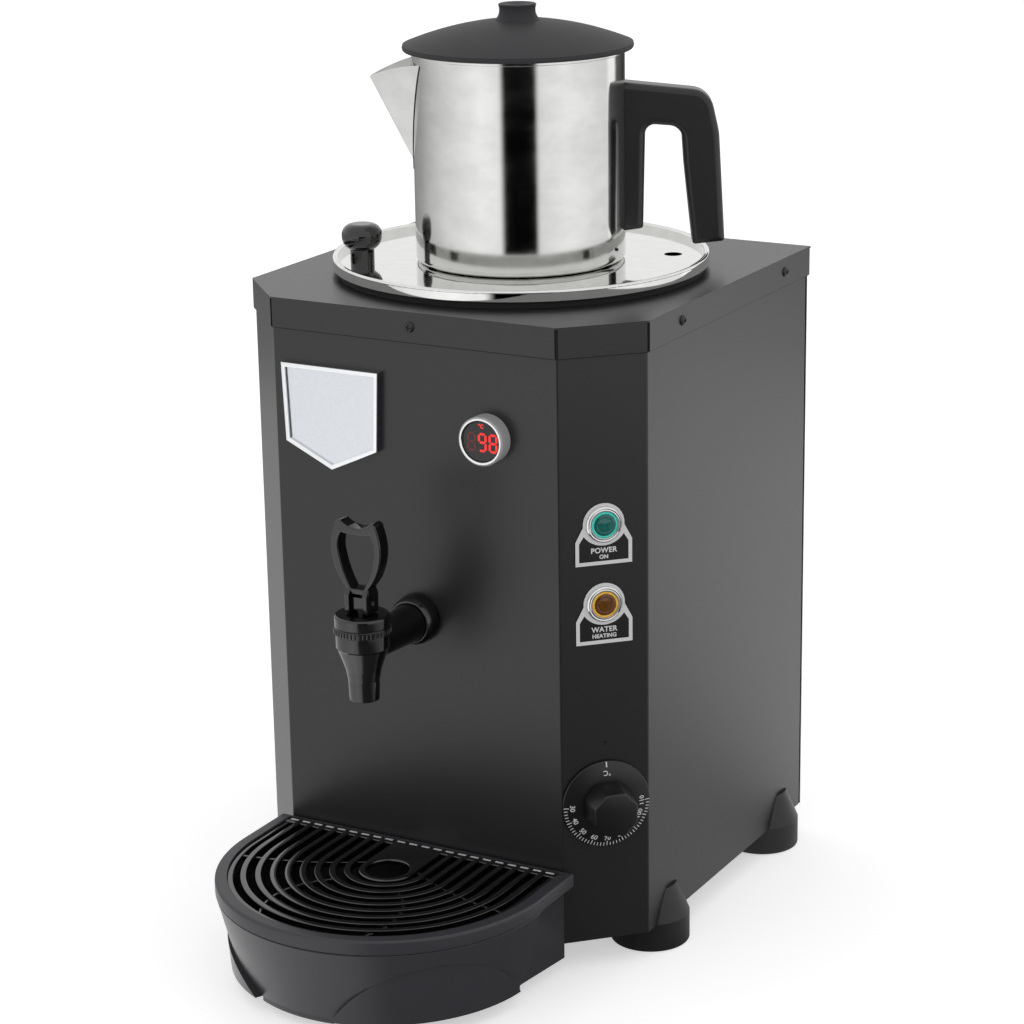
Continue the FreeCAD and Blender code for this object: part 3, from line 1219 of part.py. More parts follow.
def make_tap_lever():
    body = new_body("tap_lever", ("0", "tap_y", "tap_z + pin_z"))
    right = [("waist_half", "bridge_foot"), ("waist_half", "waist_rise"),
             ("via", "flank_half", "flank_rise"), ("belly_half", "belly_rise"),
             ("via", "brow_half", "brow_rise"), ("shoulder_half", "shoulder_rise"),
             ("tip_half", "tip_rise")]
    outline = right + [("via", "0", "crown_rise")] + mirrored(right)
    opening = [("window_foot_half", "window_foot"), ("via", "window_flank_half", "window_flank_rise"),
               ("window_belly_half", "window_belly_rise"), ("via", "window_brow_half", "window_brow_rise"),
               ("window_top_half", "window_top_rise")]
    window = opening + [("via", "0", "window_crown_rise")] + mirrored(opening)
    pad(body, [outline, window], "loop_depth", "XZ_Plane", SideType="Symmetric")
    low = "leg_gap - pin_rise"
    half = "leg_depth / 2"
    head = "loop_depth / 2"
    leg = [(minus(half), low, "leg_toe"), (half, low, "leg_toe"), (half, "bridge_foot"),
           (head, "leg_head"), (minus(head), "leg_head"), (minus(half), "bridge_foot")]
    for x in ("leg_inner", minus("leg_outer")):
        pad(body, [leg, ("circle", "0", "0", "pin_radius + pin_gap")], "leg_outer - leg_inner",
            "YZ_Plane", ("0", "0", x))


# Thermostat: body, bush and spindle behind the cut corner, with the knob outside


def chamfer_place(height):
    return ("chamfer_x", "chamfer_y", "foot_height + " + height)


def make_thermostat():
    at = chamfer_place("thermostat_height")
    body = new_body("thermostat_body", at, CHAMFER)
    half, tall = "thermostat_width / 2", "thermostat_length / 2"
    pad(body, [[(minus(half), minus(tall)), (half, minus(tall)), (half, tall), (minus(half), tall)]],
        "thermostat_depth", lift=("0", "0", "-casing_sheet - thermostat_depth"))
    pad(body, [("circle", "0", "0", "bush_radius")], "bush_reach + casing_sheet",
        lift=("0", "0", minus("casing_sheet")))
    bore = [("circle", "0", "0", "shaft_radius + shaft_gap")]
    cut(body, bore, "shaft_inside + bush_reach + shaft_end_gap", lift=("0", "0", "bush_reach"))
    shaft = new_body("thermostat_shaft", at, CHAMFER)
    turned(shaft, [("0", minus("shaft_inside")), ("shaft_radius", minus("shaft_inside")),
                   ("shaft_radius", "shaft_outside"), ("0", "shaft_outside")])
    knob = new_body("thermostat_knob", at, CHAMFER)
    turned(knob, [("shaft_radius", "knob_recess"), ("knob_recess_radius", "knob_recess"),
                  ("knob_recess_radius", "knob_gap"), ("knob_radius", "knob_gap"),
                  ("knob_radius", "knob_gap + knob_edge"), ("knob_cone_radius", "knob_gap + knob_cone"),
                  ("shaft_radius", "knob_gap + knob_cone")])
    base = "knob_gap + knob_cone"
    loft(knob, "AdditiveLoft", octagon("grip_base"), octagon("grip_face"), base, "knob_length")
    cut(knob, [("circle", "0", "0", "shaft_radius")], "shaft_outside - knob_recess",
        lift=("0", "0", "shaft_outside"))
    round_edges(knob, at_height(value("knob_length")), "grip_edge")


def make_capillary():
    """Up behind the thermostat and in to the pocket of the tank, in the plane of the cut corner."""
    radius, bend, lead = value("capillary_radius"), value("capillary_bend"), value("capillary_lead")
    start = value("chamfer_reach - casing_sheet - thermostat_depth")
    low, high = value("foot_height + thermostat_height"), value("floor_z + well_rise")
    end = value("tank_radius + well_stub")
    column = start - lead - bend
    last = column - bend
    short = bend * (1 - math.sqrt(0.5))
    slant = math.sqrt(0.5)

    def spot(out, height):
        return Vector(out * slant, -out * slant, height)

    edges = [Part.makeLine(spot(start, low), spot(start - lead, low)),
             Part.Arc(spot(start - lead, low), spot(column + short, low + short),
                      spot(column, low + bend)).toShape(),
             Part.makeLine(spot(column, low + bend), spot(column, high - bend)),
             Part.Arc(spot(column, high - bend), spot(column - short, high - short),
                      spot(last, high)).toShape()]
    if last - end > 0.01:
        edges.append(Part.makeLine(spot(last, high), spot(end, high)))
    tube_item = sweep("thermostat_capillary", edges, radius, spot(start, low), spot(1, 0))
    put(tube_item, ("0", "centre_y", "0"))
    bulb = new_body("thermostat_bulb", ("(tank_radius + well_stub) / sqrt(2)",
                                        "centre_y - (tank_radius + well_stub) / sqrt(2)",
                                        "floor_z + well_rise"), CHAMFER)
    turned(bulb, [("0", minus("bulb_length")), ("bulb_radius", minus("bulb_length"), "bulb_radius / 2"),
                  ("bulb_radius", "0"), ("0", "0")])


# Lamps, thermometer and badge


def make_lamps():
    for use, height in (("power", "lamp_high"), ("heat", "lamp_low")):
        at = chamfer_place(height)
        label = new_body("lamp_label_" + use, at, CHAMFER)
        side = [("label_half", minus("label_foot")), ("label_half", minus("label_shoulder")),
                ("sqrt(label_ring ^ 2 - label_meet ^ 2)", minus("label_meet"))]
        outline = side + [("via", "0", "label_ring")] + mirrored(side)
        pad(label, [outline, ("circle", "0", "0", "lamp_body_radius + panel_hole_gap")], "label_sheet")
        bezel = new_body("lamp_bezel_" + use, at, CHAMFER)
        top = "label_sheet + lamp_bezel_height"
        turned(bezel, [("lamp_body_radius", "label_sheet"), ("lamp_bezel", "label_sheet"),
                       ("lamp_bezel", top, "lamp_bezel_edge"), ("lamp_window", top),
                       ("lamp_window", "label_sheet + lamp_seat"),
                       ("lamp_body_radius", "label_sheet + lamp_seat")])
        jewel = new_body("lamp_jewel_" + use, at, CHAMFER)
        seat = "label_sheet + lamp_seat"
        edge = seat + " + lamp_edge"
        middle = edge + " + sqrt(lamp_sphere ^ 2 - lamp_window ^ 2 / 4) - lamp_sphere + lamp_dome"
        turned(jewel, [("0", seat), ("lamp_window", seat), ("lamp_window", edge),
                       ("via", "lamp_window / 2", middle), ("0", edge + " + lamp_dome")])
        holder = new_body("lamp_body_" + use, at, CHAMFER)
        turned(holder, [("0", "-casing_sheet - lamp_body_length"),
                        ("lamp_body_radius", "-casing_sheet - lamp_body_length", "lamp_body_edge"),
                        ("lamp_body_radius", seat), ("0", seat)])


def make_thermometer():
    at = ("thermo_x", "front_y", "foot_height + thermo_height")
    bezel = new_body("thermometer_bezel", at, FRONT)
    face = "thermo_reach - thermo_recess"
    turned(bezel, [("thermo_window", "0"), ("thermo_radius", "0"),
                   ("thermo_radius", "thermo_reach", "thermo_edge"), ("thermo_window", "thermo_reach")])
    display = new_body("thermometer_display", at, FRONT)
    turned(display, [("0", "%s - thermo_face" % face), ("thermo_window", "%s - thermo_face" % face),
                     ("thermo_window", face), ("0", face)])
    body = new_body("thermometer_body", at, FRONT)
    end = "-casing_sheet - thermo_depth"
    turned(body, [("0", end), ("thermo_body", end, "thermo_body_edge"), ("thermo_body", "0"),
                  ("thermo_window", "0"), ("thermo_window", "%s - thermo_face" % face),
                  ("0", "%s - thermo_face" % face)])


def make_badge():
    body = new_body("badge_plate", (minus("badge_x"), "front_y", "foot_height + badge_top"), FRONT)

    def shield(inset):
        foot = "-badge_drop + (%s) * 1.1" % inset
        side = "-badge_side + (%s) * 0.2" % inset
        return [("0", foot), ("badge_waist - (%s)" % inset, side),
                ("badge_half - (%s)" % inset, minus(inset)), ("-badge_half + (%s)" % inset, minus(inset)),
                ("-badge_waist + (%s)" % inset, side)]

    pad(body, [shield("0")], "badge_sheet")
    cut(body, [shield("badge_rim")], "badge_sink", lift=("0", "0", "badge_sheet"))


def make_gland():
    at = ("gland_x", "back_y", "foot_height + gland_z")
    body = new_body("cable_gland", at, BACK)
    pad(body, [hexagon("gland_flats")], "gland_hex")
    end = "-back_sheet - gland_inside"
    turned(body, [("gland_bore", end), ("gland_thread", end), ("gland_thread", "0"), ("gland_radius", "0"),
                  ("gland_radius", "gland_reach", "gland_edge"), ("gland_bore", "gland_reach")])
    cut(body, [("circle", "0", "0", "gland_bore")], through("gland_reach"), SideType="Symmetric")
    nut = new_body("gland_nut", at, BACK)
    pad(nut, [hexagon("gland_flats"), ("circle", "0", "0", "gland_thread")], "gland_nut_height",
        lift=("0", "0", "-back_sheet - gland_nut_height"))


# Drip tray: half-round, hollow, with a ledge for the grille


def make_drip_tray():
    body = new_body("drip_tray", ("0", "front_y - tray_gap", "0"))
    groove = "tray_height - tray_band - tray_groove"
    band = "tray_height - tray_band"
    foot, shoulder = tray_outline("tray_foot", "0"), tray_outline("tray_shoulder", "0")
    loft(body, "AdditiveLoft", foot, shoulder, "0", groove)
    pad(body, [tray_outline("tray_half - tray_groove_depth", "0")], "tray_groove", lift=("0", "0", groove))
    pad(body, [tray_outline("tray_half", "0")], "tray_band", lift=("0", "0", band))
    top = value("tray_height")
    round_edges(body, at_height(top), "tray_rim_round")
    back = minus("tray_back")
    ledge = "grille_z - tray_ledge_height"
    loft(body, "SubtractiveLoft", tray_outline("tray_foot - tray_wall_foot", back),
         tray_outline("tray_shoulder - tray_wall", back), "tray_floor", ledge)
    over = ("0", "0", "tray_height")
    inside = tray_outline("tray_ledge", "-tray_back - tray_mouth + tray_ledge")
    cut(body, [inside], "tray_height - (%s)" % ledge, lift=over)
    cut(body, [tray_outline("tray_mouth", back)], "tray_height - grille_z", lift=over)


def spoke(points, wide, across):
    """Curved bar through three points, as wide as asked across or along."""
    shift = "(%s) / 2" % wide
    (ax, ay), (bx, by), (cx, cy) = points
    if across:
        return [(ax + " + " + shift, ay), ("via", bx + " + " + shift, by), (cx + " + " + shift, cy),
                (cx + " - " + shift, cy), ("via", bx + " - " + shift, by), (ax + " - " + shift, ay)]
    return [(ax, ay + " + " + shift), ("via", bx, by + " + " + shift), (cx, cy + " + " + shift),
            (cx, cy + " - " + shift), ("via", bx, by + " - " + shift), (ax, ay + " - " + shift)]


def make_drip_grille():
    """U-shaped ribs nest round a middle ring, on curved spokes that run under them."""
    body = new_body("drip_grille", ("0", "front_y - tray_gap", "grille_z"))
    back = "-tray_back - grille_gap"
    pad(body, [tray_outline("grille_half", back), ("circle", "0", minus("tray_straight"), "grille_ring")],
        "grille_height")
    rear = "%s - grille_back" % back
    middle = minus("tray_straight")
    slots = []
    for i in range(int(value("grille_slots"))):
        inner = "seat_ring + %d * grille_pitch" % i
        outer = inner + " + grille_slot"
        slots.append([(outer, middle), (outer, rear), (inner, rear), (inner, middle),
                      ("via", "0", "%s - (%s)" % (middle, inner)), (minus(inner), middle),
                      (minus(inner), rear), (minus(outer), rear), (minus(outer), middle),
                      ("via", "0", "%s - (%s)" % (middle, outer))])
    cut(body, slots, "grille_height", lift=("0", "0", "grille_height"))
    for mark in ("", "-"):
        front = [(mark + "front_spoke_x", "-front_spoke_y"),
                 (mark + "front_spoke_mid_x", "-front_spoke_mid_y"),
                 (mark + "front_spoke_end_x", "front_spoke_end - tray_straight - grille_half")]
        side = [(mark + "side_spoke_x", "-side_spoke_y"), (mark + "side_spoke_mid_x", "-side_spoke_mid_y"),
                (mark + "(grille_half - side_spoke_end)", "-side_spoke_end_y")]
        pad(body, [spoke(front, "spoke_width", True)], "spoke_height")
        pad(body, [spoke(side, "spoke_width", False)], "spoke_height")


# Tank lid: a flat mirror-bright plate with a raised rim, a knob and a steam hole


def make_tank_lid():
    body = new_body("tank_lid", ("0", "centre_y", "rest_z"))
    top = "lid_sheet + lid_rim_rise"
    shell = "lid_sheet"
    turned(body, [("0", "0"), ("lid_plate", "0"), ("lid_plate", top + " - lid_sheet"),
                  ("lid_rim_radius - lid_sheet", top + " - lid_sheet"),
                  ("lid_rim_radius - lid_sheet", minus("lid_rim_skirt")),
                  ("lid_rim_radius", minus("lid_rim_skirt")), ("lid_rim_radius", top, "lid_sheet"),
                  ("lid_plate - lid_sheet", top, "lid_sheet"), ("lid_plate - lid_sheet", shell),
                  ("0", shell)])
    pad(body, [("circle", "0", "0", "lid_spigot"), ("circle", "0", "0", "lid_spigot - lid_spigot_sheet")],
        "lid_spigot_drop", Reversed=True)
    steam = ("circle", "steam_place * cos(steam_angle)", "steam_place * sin(steam_angle)", "steam_radius")
    place = ("lid_knob_place * cos(lid_knob_angle)", "lid_knob_place * sin(lid_knob_angle)")
    holes = [steam, ("circle", place[0], place[1], "lid_screw_radius")]
    cut(body, holes, through("lid_sheet"), SideType="Symmetric")
    at = (place[0], "centre_y + " + place[1], "plate_z")
    knob = new_body("tank_lid_knob", at)
    turned(knob, [("lid_screw_radius", "0"), ("lid_knob_neck", "0"),
                  ("lid_knob_neck", "lid_knob_neck_height"),
                  ("via", "lid_knob_lower", "(lid_knob_belly + lid_knob_neck_height) / 2"),
                  ("lid_knob_radius", "lid_knob_belly"),
                  ("via", "lid_knob_upper", "lid_knob_upper_rise"),
                  ("lid_knob_crown", "lid_knob_height"), ("0", "lid_knob_height"),
                  ("0", "lid_screw_length - lid_sheet"),
                  ("lid_screw_radius", "lid_screw_length - lid_sheet")])
    screw = new_body("tank_lid_screw", (at[0], at[1], "rest_z"))
    head = minus("lid_screw_head_height")
    turned(screw, [("0", head), ("lid_screw_head", head, "lid_screw_edge"), ("lid_screw_head", "0"),
                   ("lid_screw_radius", "0"), ("lid_screw_radius", "lid_screw_length"),
                   ("0", "lid_screw_length")])


# Teapot: a drawn pot with a folded sheet spout, a bakelite handle and a moulded lid


def pot_turn():
    return Rotation(Vector(0, 0, 1), value("pot_turn"))


def pot_body(label, height="plate_z"):
    return new_body(label, ("0", "centre_y", height), pot_turn())


def make_teapot_body():
    body = pot_body("teapot_body")
    inside = "pot_radius - pot_wall"
    under = "pot_height - pot_bead_height"
    turned(body, [("0", "0"), ("pot_radius", "0", "pot_corner"), ("pot_radius", under),
                  ("pot_bead", under, "pot_wall / 2"), ("pot_bead", "pot_height", "pot_wall / 2"),
                  (inside, "pot_height"), (inside, "pot_wall", "pot_corner - pot_wall"), ("0", "pot_wall")])
    holes = []
    for row in range(STRAINER_ROWS):
        for i in range(row + 1):
            y = "%s * strainer_pitch" % (i - row / 2)
            z = "strainer_rise + %d * strainer_row" % row
            holes.append(("circle", y, z, "strainer_radius"))
    cut(body, holes, through("pot_wall"), "YZ_Plane", ("0", "0", minus("pot_radius")), SideType="Symmetric")
    bores = [("circle", "0", z, "handle_screw_radius") for z in ("handle_screw_low", "handle_screw_high")]
    cut(body, bores, through("pot_wall"), "YZ_Plane", ("0", "0", "pot_radius"), SideType="Symmetric")


def make_teapot_spout():
    """Folded sheet: a rounded V that widens towards the top, open above and against the pot."""
    body = pot_body("teapot_spout")
    high = "spout_top_rise + spout_waste"
    rise = "(%s - spout_foot_rise)" % high
    lean = "(spout_tip - pot_radius) / (spout_tip_rise - spout_foot_rise)"
    heel = "-(pot_radius + spout_heel)"
    far = "%s - %s * (%s)" % (heel, rise, lean)
    root = "-(pot_radius - spout_root_depth)"

    def section(tip, half, nose):
        return [(tip, "0", nose), (root, half), (root, minus(half))]

    loft(body, "AdditiveLoft", section(heel, "spout_heel_half", "spout_heel_nose"),
         section(far, "spout_root_half", "spout_nose"), "spout_foot_rise", high)
    loft(body, "SubtractiveLoft",
         section(heel + " + spout_sheet_ridge", "spout_heel_half - spout_sheet_root", "spout_heel_inside"),
         section(far + " + spout_sheet_ridge", "spout_root_half - spout_sheet_root",
                 "spout_nose - spout_sheet / 2"), "spout_foot_rise", high)
    over = "spout_top_rise + spout_lip_room"
    above = [("-spout_tip - spout_lip_reach", "spout_tip_rise - spout_lip_drop"),
             ("via", "-spout_brow", "spout_brow_rise"),
             ("spout_lip_depth - pot_radius", "spout_top_rise + spout_lip_rise"),
             ("spout_lip_depth - pot_radius", over), ("-spout_tip - spout_lip_reach", over)]
    cut(body, [above], through("spout_half"), "XZ_Plane", SideType="Symmetric")
    cut(body, [("circle", "0", "0", "pot_radius")], through("pot_height"), SideType="Symmetric")


def make_teapot_handle():
    body = pot_body("teapot_handle")
    start = "pot_radius - handle_tuck"
    outline = [(start, "handle_heel_rise"), ("handle_root", "handle_root_rise", "handle_edge / 2"),
               ("handle_throat", "handle_throat_rise", "handle_throat_round"),
               ("handle_arch", "handle_arch_rise", "handle_arch_round"),
               ("handle_palm", "handle_palm_rise", "handle_grip_round"),
               ("handle_inner_end", "handle_inner_end_rise", "handle_edge / 2"),
               ("handle_end", "handle_end_rise", "handle_edge / 2"),
               ("handle_back", "handle_back_rise", "handle_grip_round"),
               ("handle_elbow", "handle_elbow_rise", "handle_elbow_round"), (start, "handle_top")]
    pad(body, [outline], "handle_width", "XZ_Plane", SideType="Symmetric")
    side = value("handle_width") / 2
    inner = value(start) + CLOSE

    def outer_edge(edge):
        on_side = abs(abs(edge.CenterOfMass.y) - side) < CLOSE
        return on_side and edge.BoundBox.XMax > inner and edge.BoundBox.YLength < CLOSE

    round_edges(body, outer_edge, "handle_edge")
    cut(body, [("circle", "0", "0", "pot_radius + handle_fit")], through("pot_height"), SideType="Symmetric")
    bores = [("circle", "0", z, "handle_screw_radius") for z in ("handle_screw_low", "handle_screw_high")]
    mouth = ("0", "0", "pot_radius - pot_wall + handle_screw_length")
    cut(body, bores, "handle_screw_length", "YZ_Plane", mouth)


def make_handle_screws():
    parts = []
    inward = pot_turn() * Rotation(Vector(0, 0, 1), -90) * FRONT
    reach = "screw_seat"
    for i, z in enumerate(("handle_screw_low", "handle_screw_high")):
        at = (reach + " * cos(pot_turn)", "centre_y + %s * sin(pot_turn)" % reach, "plate_z + " + z)
        parts.append(make_screw("handle_screw_%d" % i, at, inward, "handle_screw_head",
                                "handle_screw_head_height", "handle_screw_radius", "handle_screw_length"))
    make_group("teapot_screws", parts)


def make_teapot_lid():
    body = pot_body("teapot_lid", "pot_rim_z")
    wall = "pot_lid_wall"
    turned(body, [("pot_knob_spigot", "pot_lid_dome - " + wall), ("pot_lid_seat", "pot_lid_dome - " + wall),
                  ("via", "pot_lid_swell", "pot_lid_swell_rise - " + wall),
                  ("pot_lid_ring - " + wall, "pot_lid_inside"),
                  ("pot_lid_ring - " + wall, minus("pot_lid_ring_drop")),
                  ("pot_lid_ring", minus("pot_lid_ring_drop")), ("pot_lid_ring", "0"),
                  ("pot_lid_radius", "0", "pot_lid_edge"), ("pot_lid_radius", "pot_lid_band"),
                  ("via", "pot_lid_swell", "pot_lid_swell_rise"), ("pot_lid_seat", "pot_lid_dome"),
                  ("pot_knob_spigot", "pot_lid_dome")])
    knob = pot_body("teapot_lid_knob", "pot_rim_z + pot_lid_dome")
    pin = "-pot_lid_wall - pot_knob_pin"
    turned(knob, [("0", pin), ("pot_knob_spigot", pin), ("pot_knob_spigot", "0"),
                  ("pot_knob_base", "0"), ("via", "pot_knob_waist", "pot_knob_waist_rise"),
                  ("pot_knob_top", "pot_knob_height", "pot_knob_edge"),
                  ("pot_knob_hollow_radius", "pot_knob_height"), ("0", "pot_knob_height - pot_knob_hollow")])


def check_model():
    """Stop on any failed object, empty shape or cut that cut nothing."""
    doc.recompute()
    faults = []
    for item in doc.Objects:
        if {"Invalid", "Error"} & set(item.State):
            faults.append("%s is %s" % (item.Label, item.State))
        if item.TypeId in ("PartDesign::Pocket", "PartDesign::Groove", "PartDesign::SubtractiveLoft"):
            if item.Shape.Volume > item.BaseFeature.Shape.Volume - 1e-6:
                faults.append("%s cuts nothing" % item.Label)
    for piece in pieces:
        if piece.Shape.isNull() or not piece.Shape.isValid() or not piece.Shape.Solids:
            faults.append("%s has no sound shape" % piece.Label)
    if faults:
        raise RuntimeError("; ".join(faults))


def write_parts():
    os.makedirs("parts", exist_ok=True)
    for piece in pieces:
        piece.Shape.exportStep("parts/%s.step" % piece.Label)
    print(len(pieces), "pieces written")


make_housing_shell()
make_back_panel()
make_base_pan()
make_top_cover()
make_casing_screws()
make_feet()
make_tank()
make_heating_element()
make_heater_fittings()
make_terminal_block()
make_tap_body()
make_tap_fittings()
make_tap_stem()
make_tap_spring()
make_tap_lever()
make_thermostat()
make_capillary()
make_lamps()
make_thermometer()
make_badge()
make_gland()
make_drip_tray()
make_drip_grille()
make_tank_lid()
make_teapot_body()
make_teapot_spout()
make_teapot_handle()
make_handle_screws()
make_teapot_lid()
check_model()
write_parts()
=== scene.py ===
import json
import math
import bmesh
import bpy
from mathutils import Matrix, Vector
from types import SimpleNamespace


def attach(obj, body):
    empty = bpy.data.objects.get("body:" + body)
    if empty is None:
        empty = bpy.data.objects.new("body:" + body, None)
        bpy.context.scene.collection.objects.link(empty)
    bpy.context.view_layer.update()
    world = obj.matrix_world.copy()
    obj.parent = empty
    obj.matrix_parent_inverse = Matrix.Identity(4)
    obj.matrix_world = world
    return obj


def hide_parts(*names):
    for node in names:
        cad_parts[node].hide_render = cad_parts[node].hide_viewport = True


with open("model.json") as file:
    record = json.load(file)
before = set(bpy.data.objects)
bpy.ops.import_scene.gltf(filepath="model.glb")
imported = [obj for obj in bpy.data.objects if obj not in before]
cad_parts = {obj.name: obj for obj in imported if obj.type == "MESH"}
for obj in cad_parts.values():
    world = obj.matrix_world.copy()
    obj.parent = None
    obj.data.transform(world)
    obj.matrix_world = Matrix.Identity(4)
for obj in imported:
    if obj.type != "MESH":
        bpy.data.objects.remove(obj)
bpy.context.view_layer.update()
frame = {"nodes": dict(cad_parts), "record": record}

# Everything is drawn in millimetres and brought to metres when a piece is finished.
# X is to the right of the urn, -Y is its front and Z is up.
metre = 0.001
scene = bpy.context.scene
nodes = frame["nodes"]
print("frame loaded,", len(nodes), "CAD nodes")


def hexColour(code):
    # sRGB code to linear red, green and blue
    parts = [int(code[i:i + 2], 16) / 255 for i in (1, 3, 5)]
    return [c / 12.92 if c <= 0.04045 else ((c + 0.055) / 1.055) ** 2.4 for c in parts] + [1.0]


def feedNode(tree, node, inputs):
    # nodes, by their first output, and sockets are linked; other values are set
    for name, item in inputs.items():
        if isinstance(item, bpy.types.Node):
            item = item.outputs[0]
        if isinstance(item, bpy.types.NodeSocket):
            tree.links.new(item, node.inputs[name])
        else:
            node.inputs[name].default_value = item


def addNode(tree, kind, inputs={}, **settings):
    node = tree.nodes.new(kind)
    for name, setting in settings.items():
        setattr(node, name, setting)
    feedNode(tree, node, inputs)
    return node


def addMath(tree, operation, *values):
    return addNode(tree, "ShaderNodeMath", dict(enumerate(values)), operation=operation)


def addVector(tree, x=0.0, y=0.0, z=0.0):
    return addNode(tree, "ShaderNodeCombineXYZ", {0: x, 1: y, 2: z})


def addItem(name, data):
    item = bpy.data.objects.new(name, data)
    scene.collection.objects.link(item)
    return item


def newMaterial(name):
    material = bpy.data.materials.new(name)
    material.use_nodes = True
    return material, material.node_tree


# Camera at the photograph's angle

cameraSetup = {
    "azimuth": 29.31,  # degrees to the right of the front
    "elevation": 16.87, "distance": 1917.0, "lens": 101.92, "sensor": 36.0,
    "farthest": 30.0,  # metres that it sees
    "roll": -0.96,
    "aside": -8.6,  # how far the view's middle stands to the right of the urn's
    "centre": (0, 69.75, 251.5),
}


def makeCamera():
    s = SimpleNamespace(**cameraSetup)
    azimuth, elevation, roll = (math.radians(angle) for angle in (s.azimuth, s.elevation, s.roll))
    back = Vector((math.sin(azimuth) * math.cos(elevation), -math.cos(azimuth) * math.cos(elevation),
            math.sin(elevation)))
    right = Vector((math.cos(azimuth), math.sin(azimuth), 0))
    up = back.cross(right)
    place = Vector(s.centre) + right * s.aside + back * s.distance
    across = right * math.cos(roll) + up * math.sin(roll)
    upward = up * math.cos(roll) - right * math.sin(roll)
    data = bpy.data.cameras.new("camera")
    data.lens = s.lens
    data.sensor_width = s.sensor
    data.clip_end = s.farthest
    camera = addItem("camera", data)
    facing = Matrix((across, upward, back)).transposed().to_4x4()
    camera.matrix_world = Matrix.Translation(place * metre) @ facing
    scene.camera = camera


makeCamera()

# Studio: a white floor that keeps the shadow and a white surround. Mirrors see the floor and a ring
# of reflectors instead, whose brightness goes by azimuth, in degrees to the right of the front.

studio = {
    "floorHalf": 4.0,  # metres
    "floorColour": "#f2f2f2",
    "floorLift": 0.5,  # light of its own that takes the floor to white in the camera
    "worldStrength": 0.72,
    "worldSeen": 1.0,  # brightness that the camera and mirrors see
    "ringRadius": 1450.0, "ringHeight": 500.0, "ringSides": 96,
    "brightest": 1.5,  # level that 1 stands for in the two tables
}
floorLevels = [(-180, 0.6), (-119, 0.56), (-60, 0.6), (-30, 0.78), (-12, 0.95), (6, 0.75), (13, 0.1),
        (44, 0.06), (62, 0.12), (76, 0.3), (92, 0.42), (112, 0.44), (132, 0.42), (142, 0.84),
        (150, 0.96), (180, 0.6)]
ringLevels = [(-180, 0.03), (-150, 0.1), (-135, 0.18), (-103, 0.3), (-60, 0.6), (-12, 0.85), (8, 0.78),
        (13.5, 0.0), (45, 0.0), (50, 0.7), (79, 0.8), (120, 0.7), (136, 0.66), (142, 0.9), (152, 0.9),
        (158, 0.1), (180, 0.03)]


def addLevels(tree, levels):
    # brightness by azimuth round the urn's axis
    spots = addNode(tree, "ShaderNodeTexCoord")
    apart = addNode(tree, "ShaderNodeSeparateXYZ", {0: spots.outputs["Object"]})
    ahead = addMath(tree, "SUBTRACT", cameraSetup["centre"][1] * metre, apart.outputs["Y"])
    azimuth = addMath(tree, "ARCTAN2", apart.outputs["X"], ahead)
    share = addNode(tree, "ShaderNodeMapRange", {"Value": azimuth, "From Min": -math.pi,
            "From Max": math.pi})
    ramp = addNode(tree, "ShaderNodeValToRGB", {"Fac": share})
    for k, (angle, level) in enumerate(levels):
        place = (angle + 180) / 360
        stop = ramp.color_ramp.elements[k] if k < 2 else ramp.color_ramp.elements.new(place)
        stop.position = place
        stop.color = (level, level, level, 1)
    return addNode(tree, "ShaderNodeEmission", {"Color": ramp, "Strength": studio["brightest"]})


def makeRing():
    s = SimpleNamespace(**studio)
    material, tree = newMaterial("reflectors")
    tree.nodes.clear()
    addNode(tree, "ShaderNodeOutputMaterial", {"Surface": addLevels(tree, ringLevels)})
    shape = bmesh.new()
    bmesh.ops.create_cone(shape, segments=s.ringSides, radius1=s.ringRadius * metre,
            radius2=s.ringRadius * metre, depth=s.ringHeight * metre)
    middle = (0, cameraSetup["centre"][1] * metre, s.ringHeight / 2 * metre)
    bmesh.ops.translate(shape, verts=shape.verts, vec=middle)
    mesh = bpy.data.meshes.new("reflectors")
    shape.to_mesh(mesh)
    shape.free()
    mesh.materials.append(material)
    ring = addItem("reflectors", mesh)
    for rays in ("camera", "diffuse", "shadow", "transmission"):
        setattr(ring, "visible_" + rays, False)


def makeWorld():
    world = bpy.data.worlds.new("surround")
    scene.world = world
    world.use_nodes = True
    tree = world.node_tree
    tree.nodes.clear()
    light, seen = (addNode(tree, "ShaderNodeBackground", {"Color": (1, 1, 1, 1), "Strength": level})
            for level in (studio["worldStrength"], studio["worldSeen"]))
    path = addNode(tree, "ShaderNodeLightPath").outputs
    mirror = addMath(tree, "MAXIMUM", path["Is Camera Ray"], path["Is Glossy Ray"])
    either = addMath(tree, "MAXIMUM", mirror, path["Is Transmission Ray"])
    mix = addNode(tree, "ShaderNodeMixShader", {0: either, 1: light, 2: seen})
    addNode(tree, "ShaderNodeOutputWorld", {"Surface": mix})


def makeFloor():
    s = SimpleNamespace(**studio)
    material, tree = newMaterial("paleFloor")
    shader = tree.nodes["Principled BSDF"]
    path = addNode(tree, "ShaderNodeLightPath").outputs
    lift = addMath(tree, "MULTIPLY", path["Is Camera Ray"], s.floorLift)
    feedNode(tree, shader, {
        "Base Color": hexColour(s.floorColour), "Roughness": 1.0, "Specular IOR Level": 0.0,
        "Emission Color": (1, 1, 1, 1), "Emission Strength": lift,
    })
    mix = addNode(tree, "ShaderNodeMixShader", {0: path["Is Glossy Ray"], 1: shader,
            2: addLevels(tree, floorLevels)})
    feedNode(tree, tree.nodes["Material Output"], {"Surface": mix})
    mesh = bpy.data.meshes.new("floor")
    half = s.floorHalf
    corners = [(-half, -half, 0), (half, -half, 0), (half, half, 0), (-half, half, 0)]
    mesh.from_pydata(corners, [], [(0, 1, 2, 3)])
    mesh.materials.append(material)
    addItem("floor", mesh)


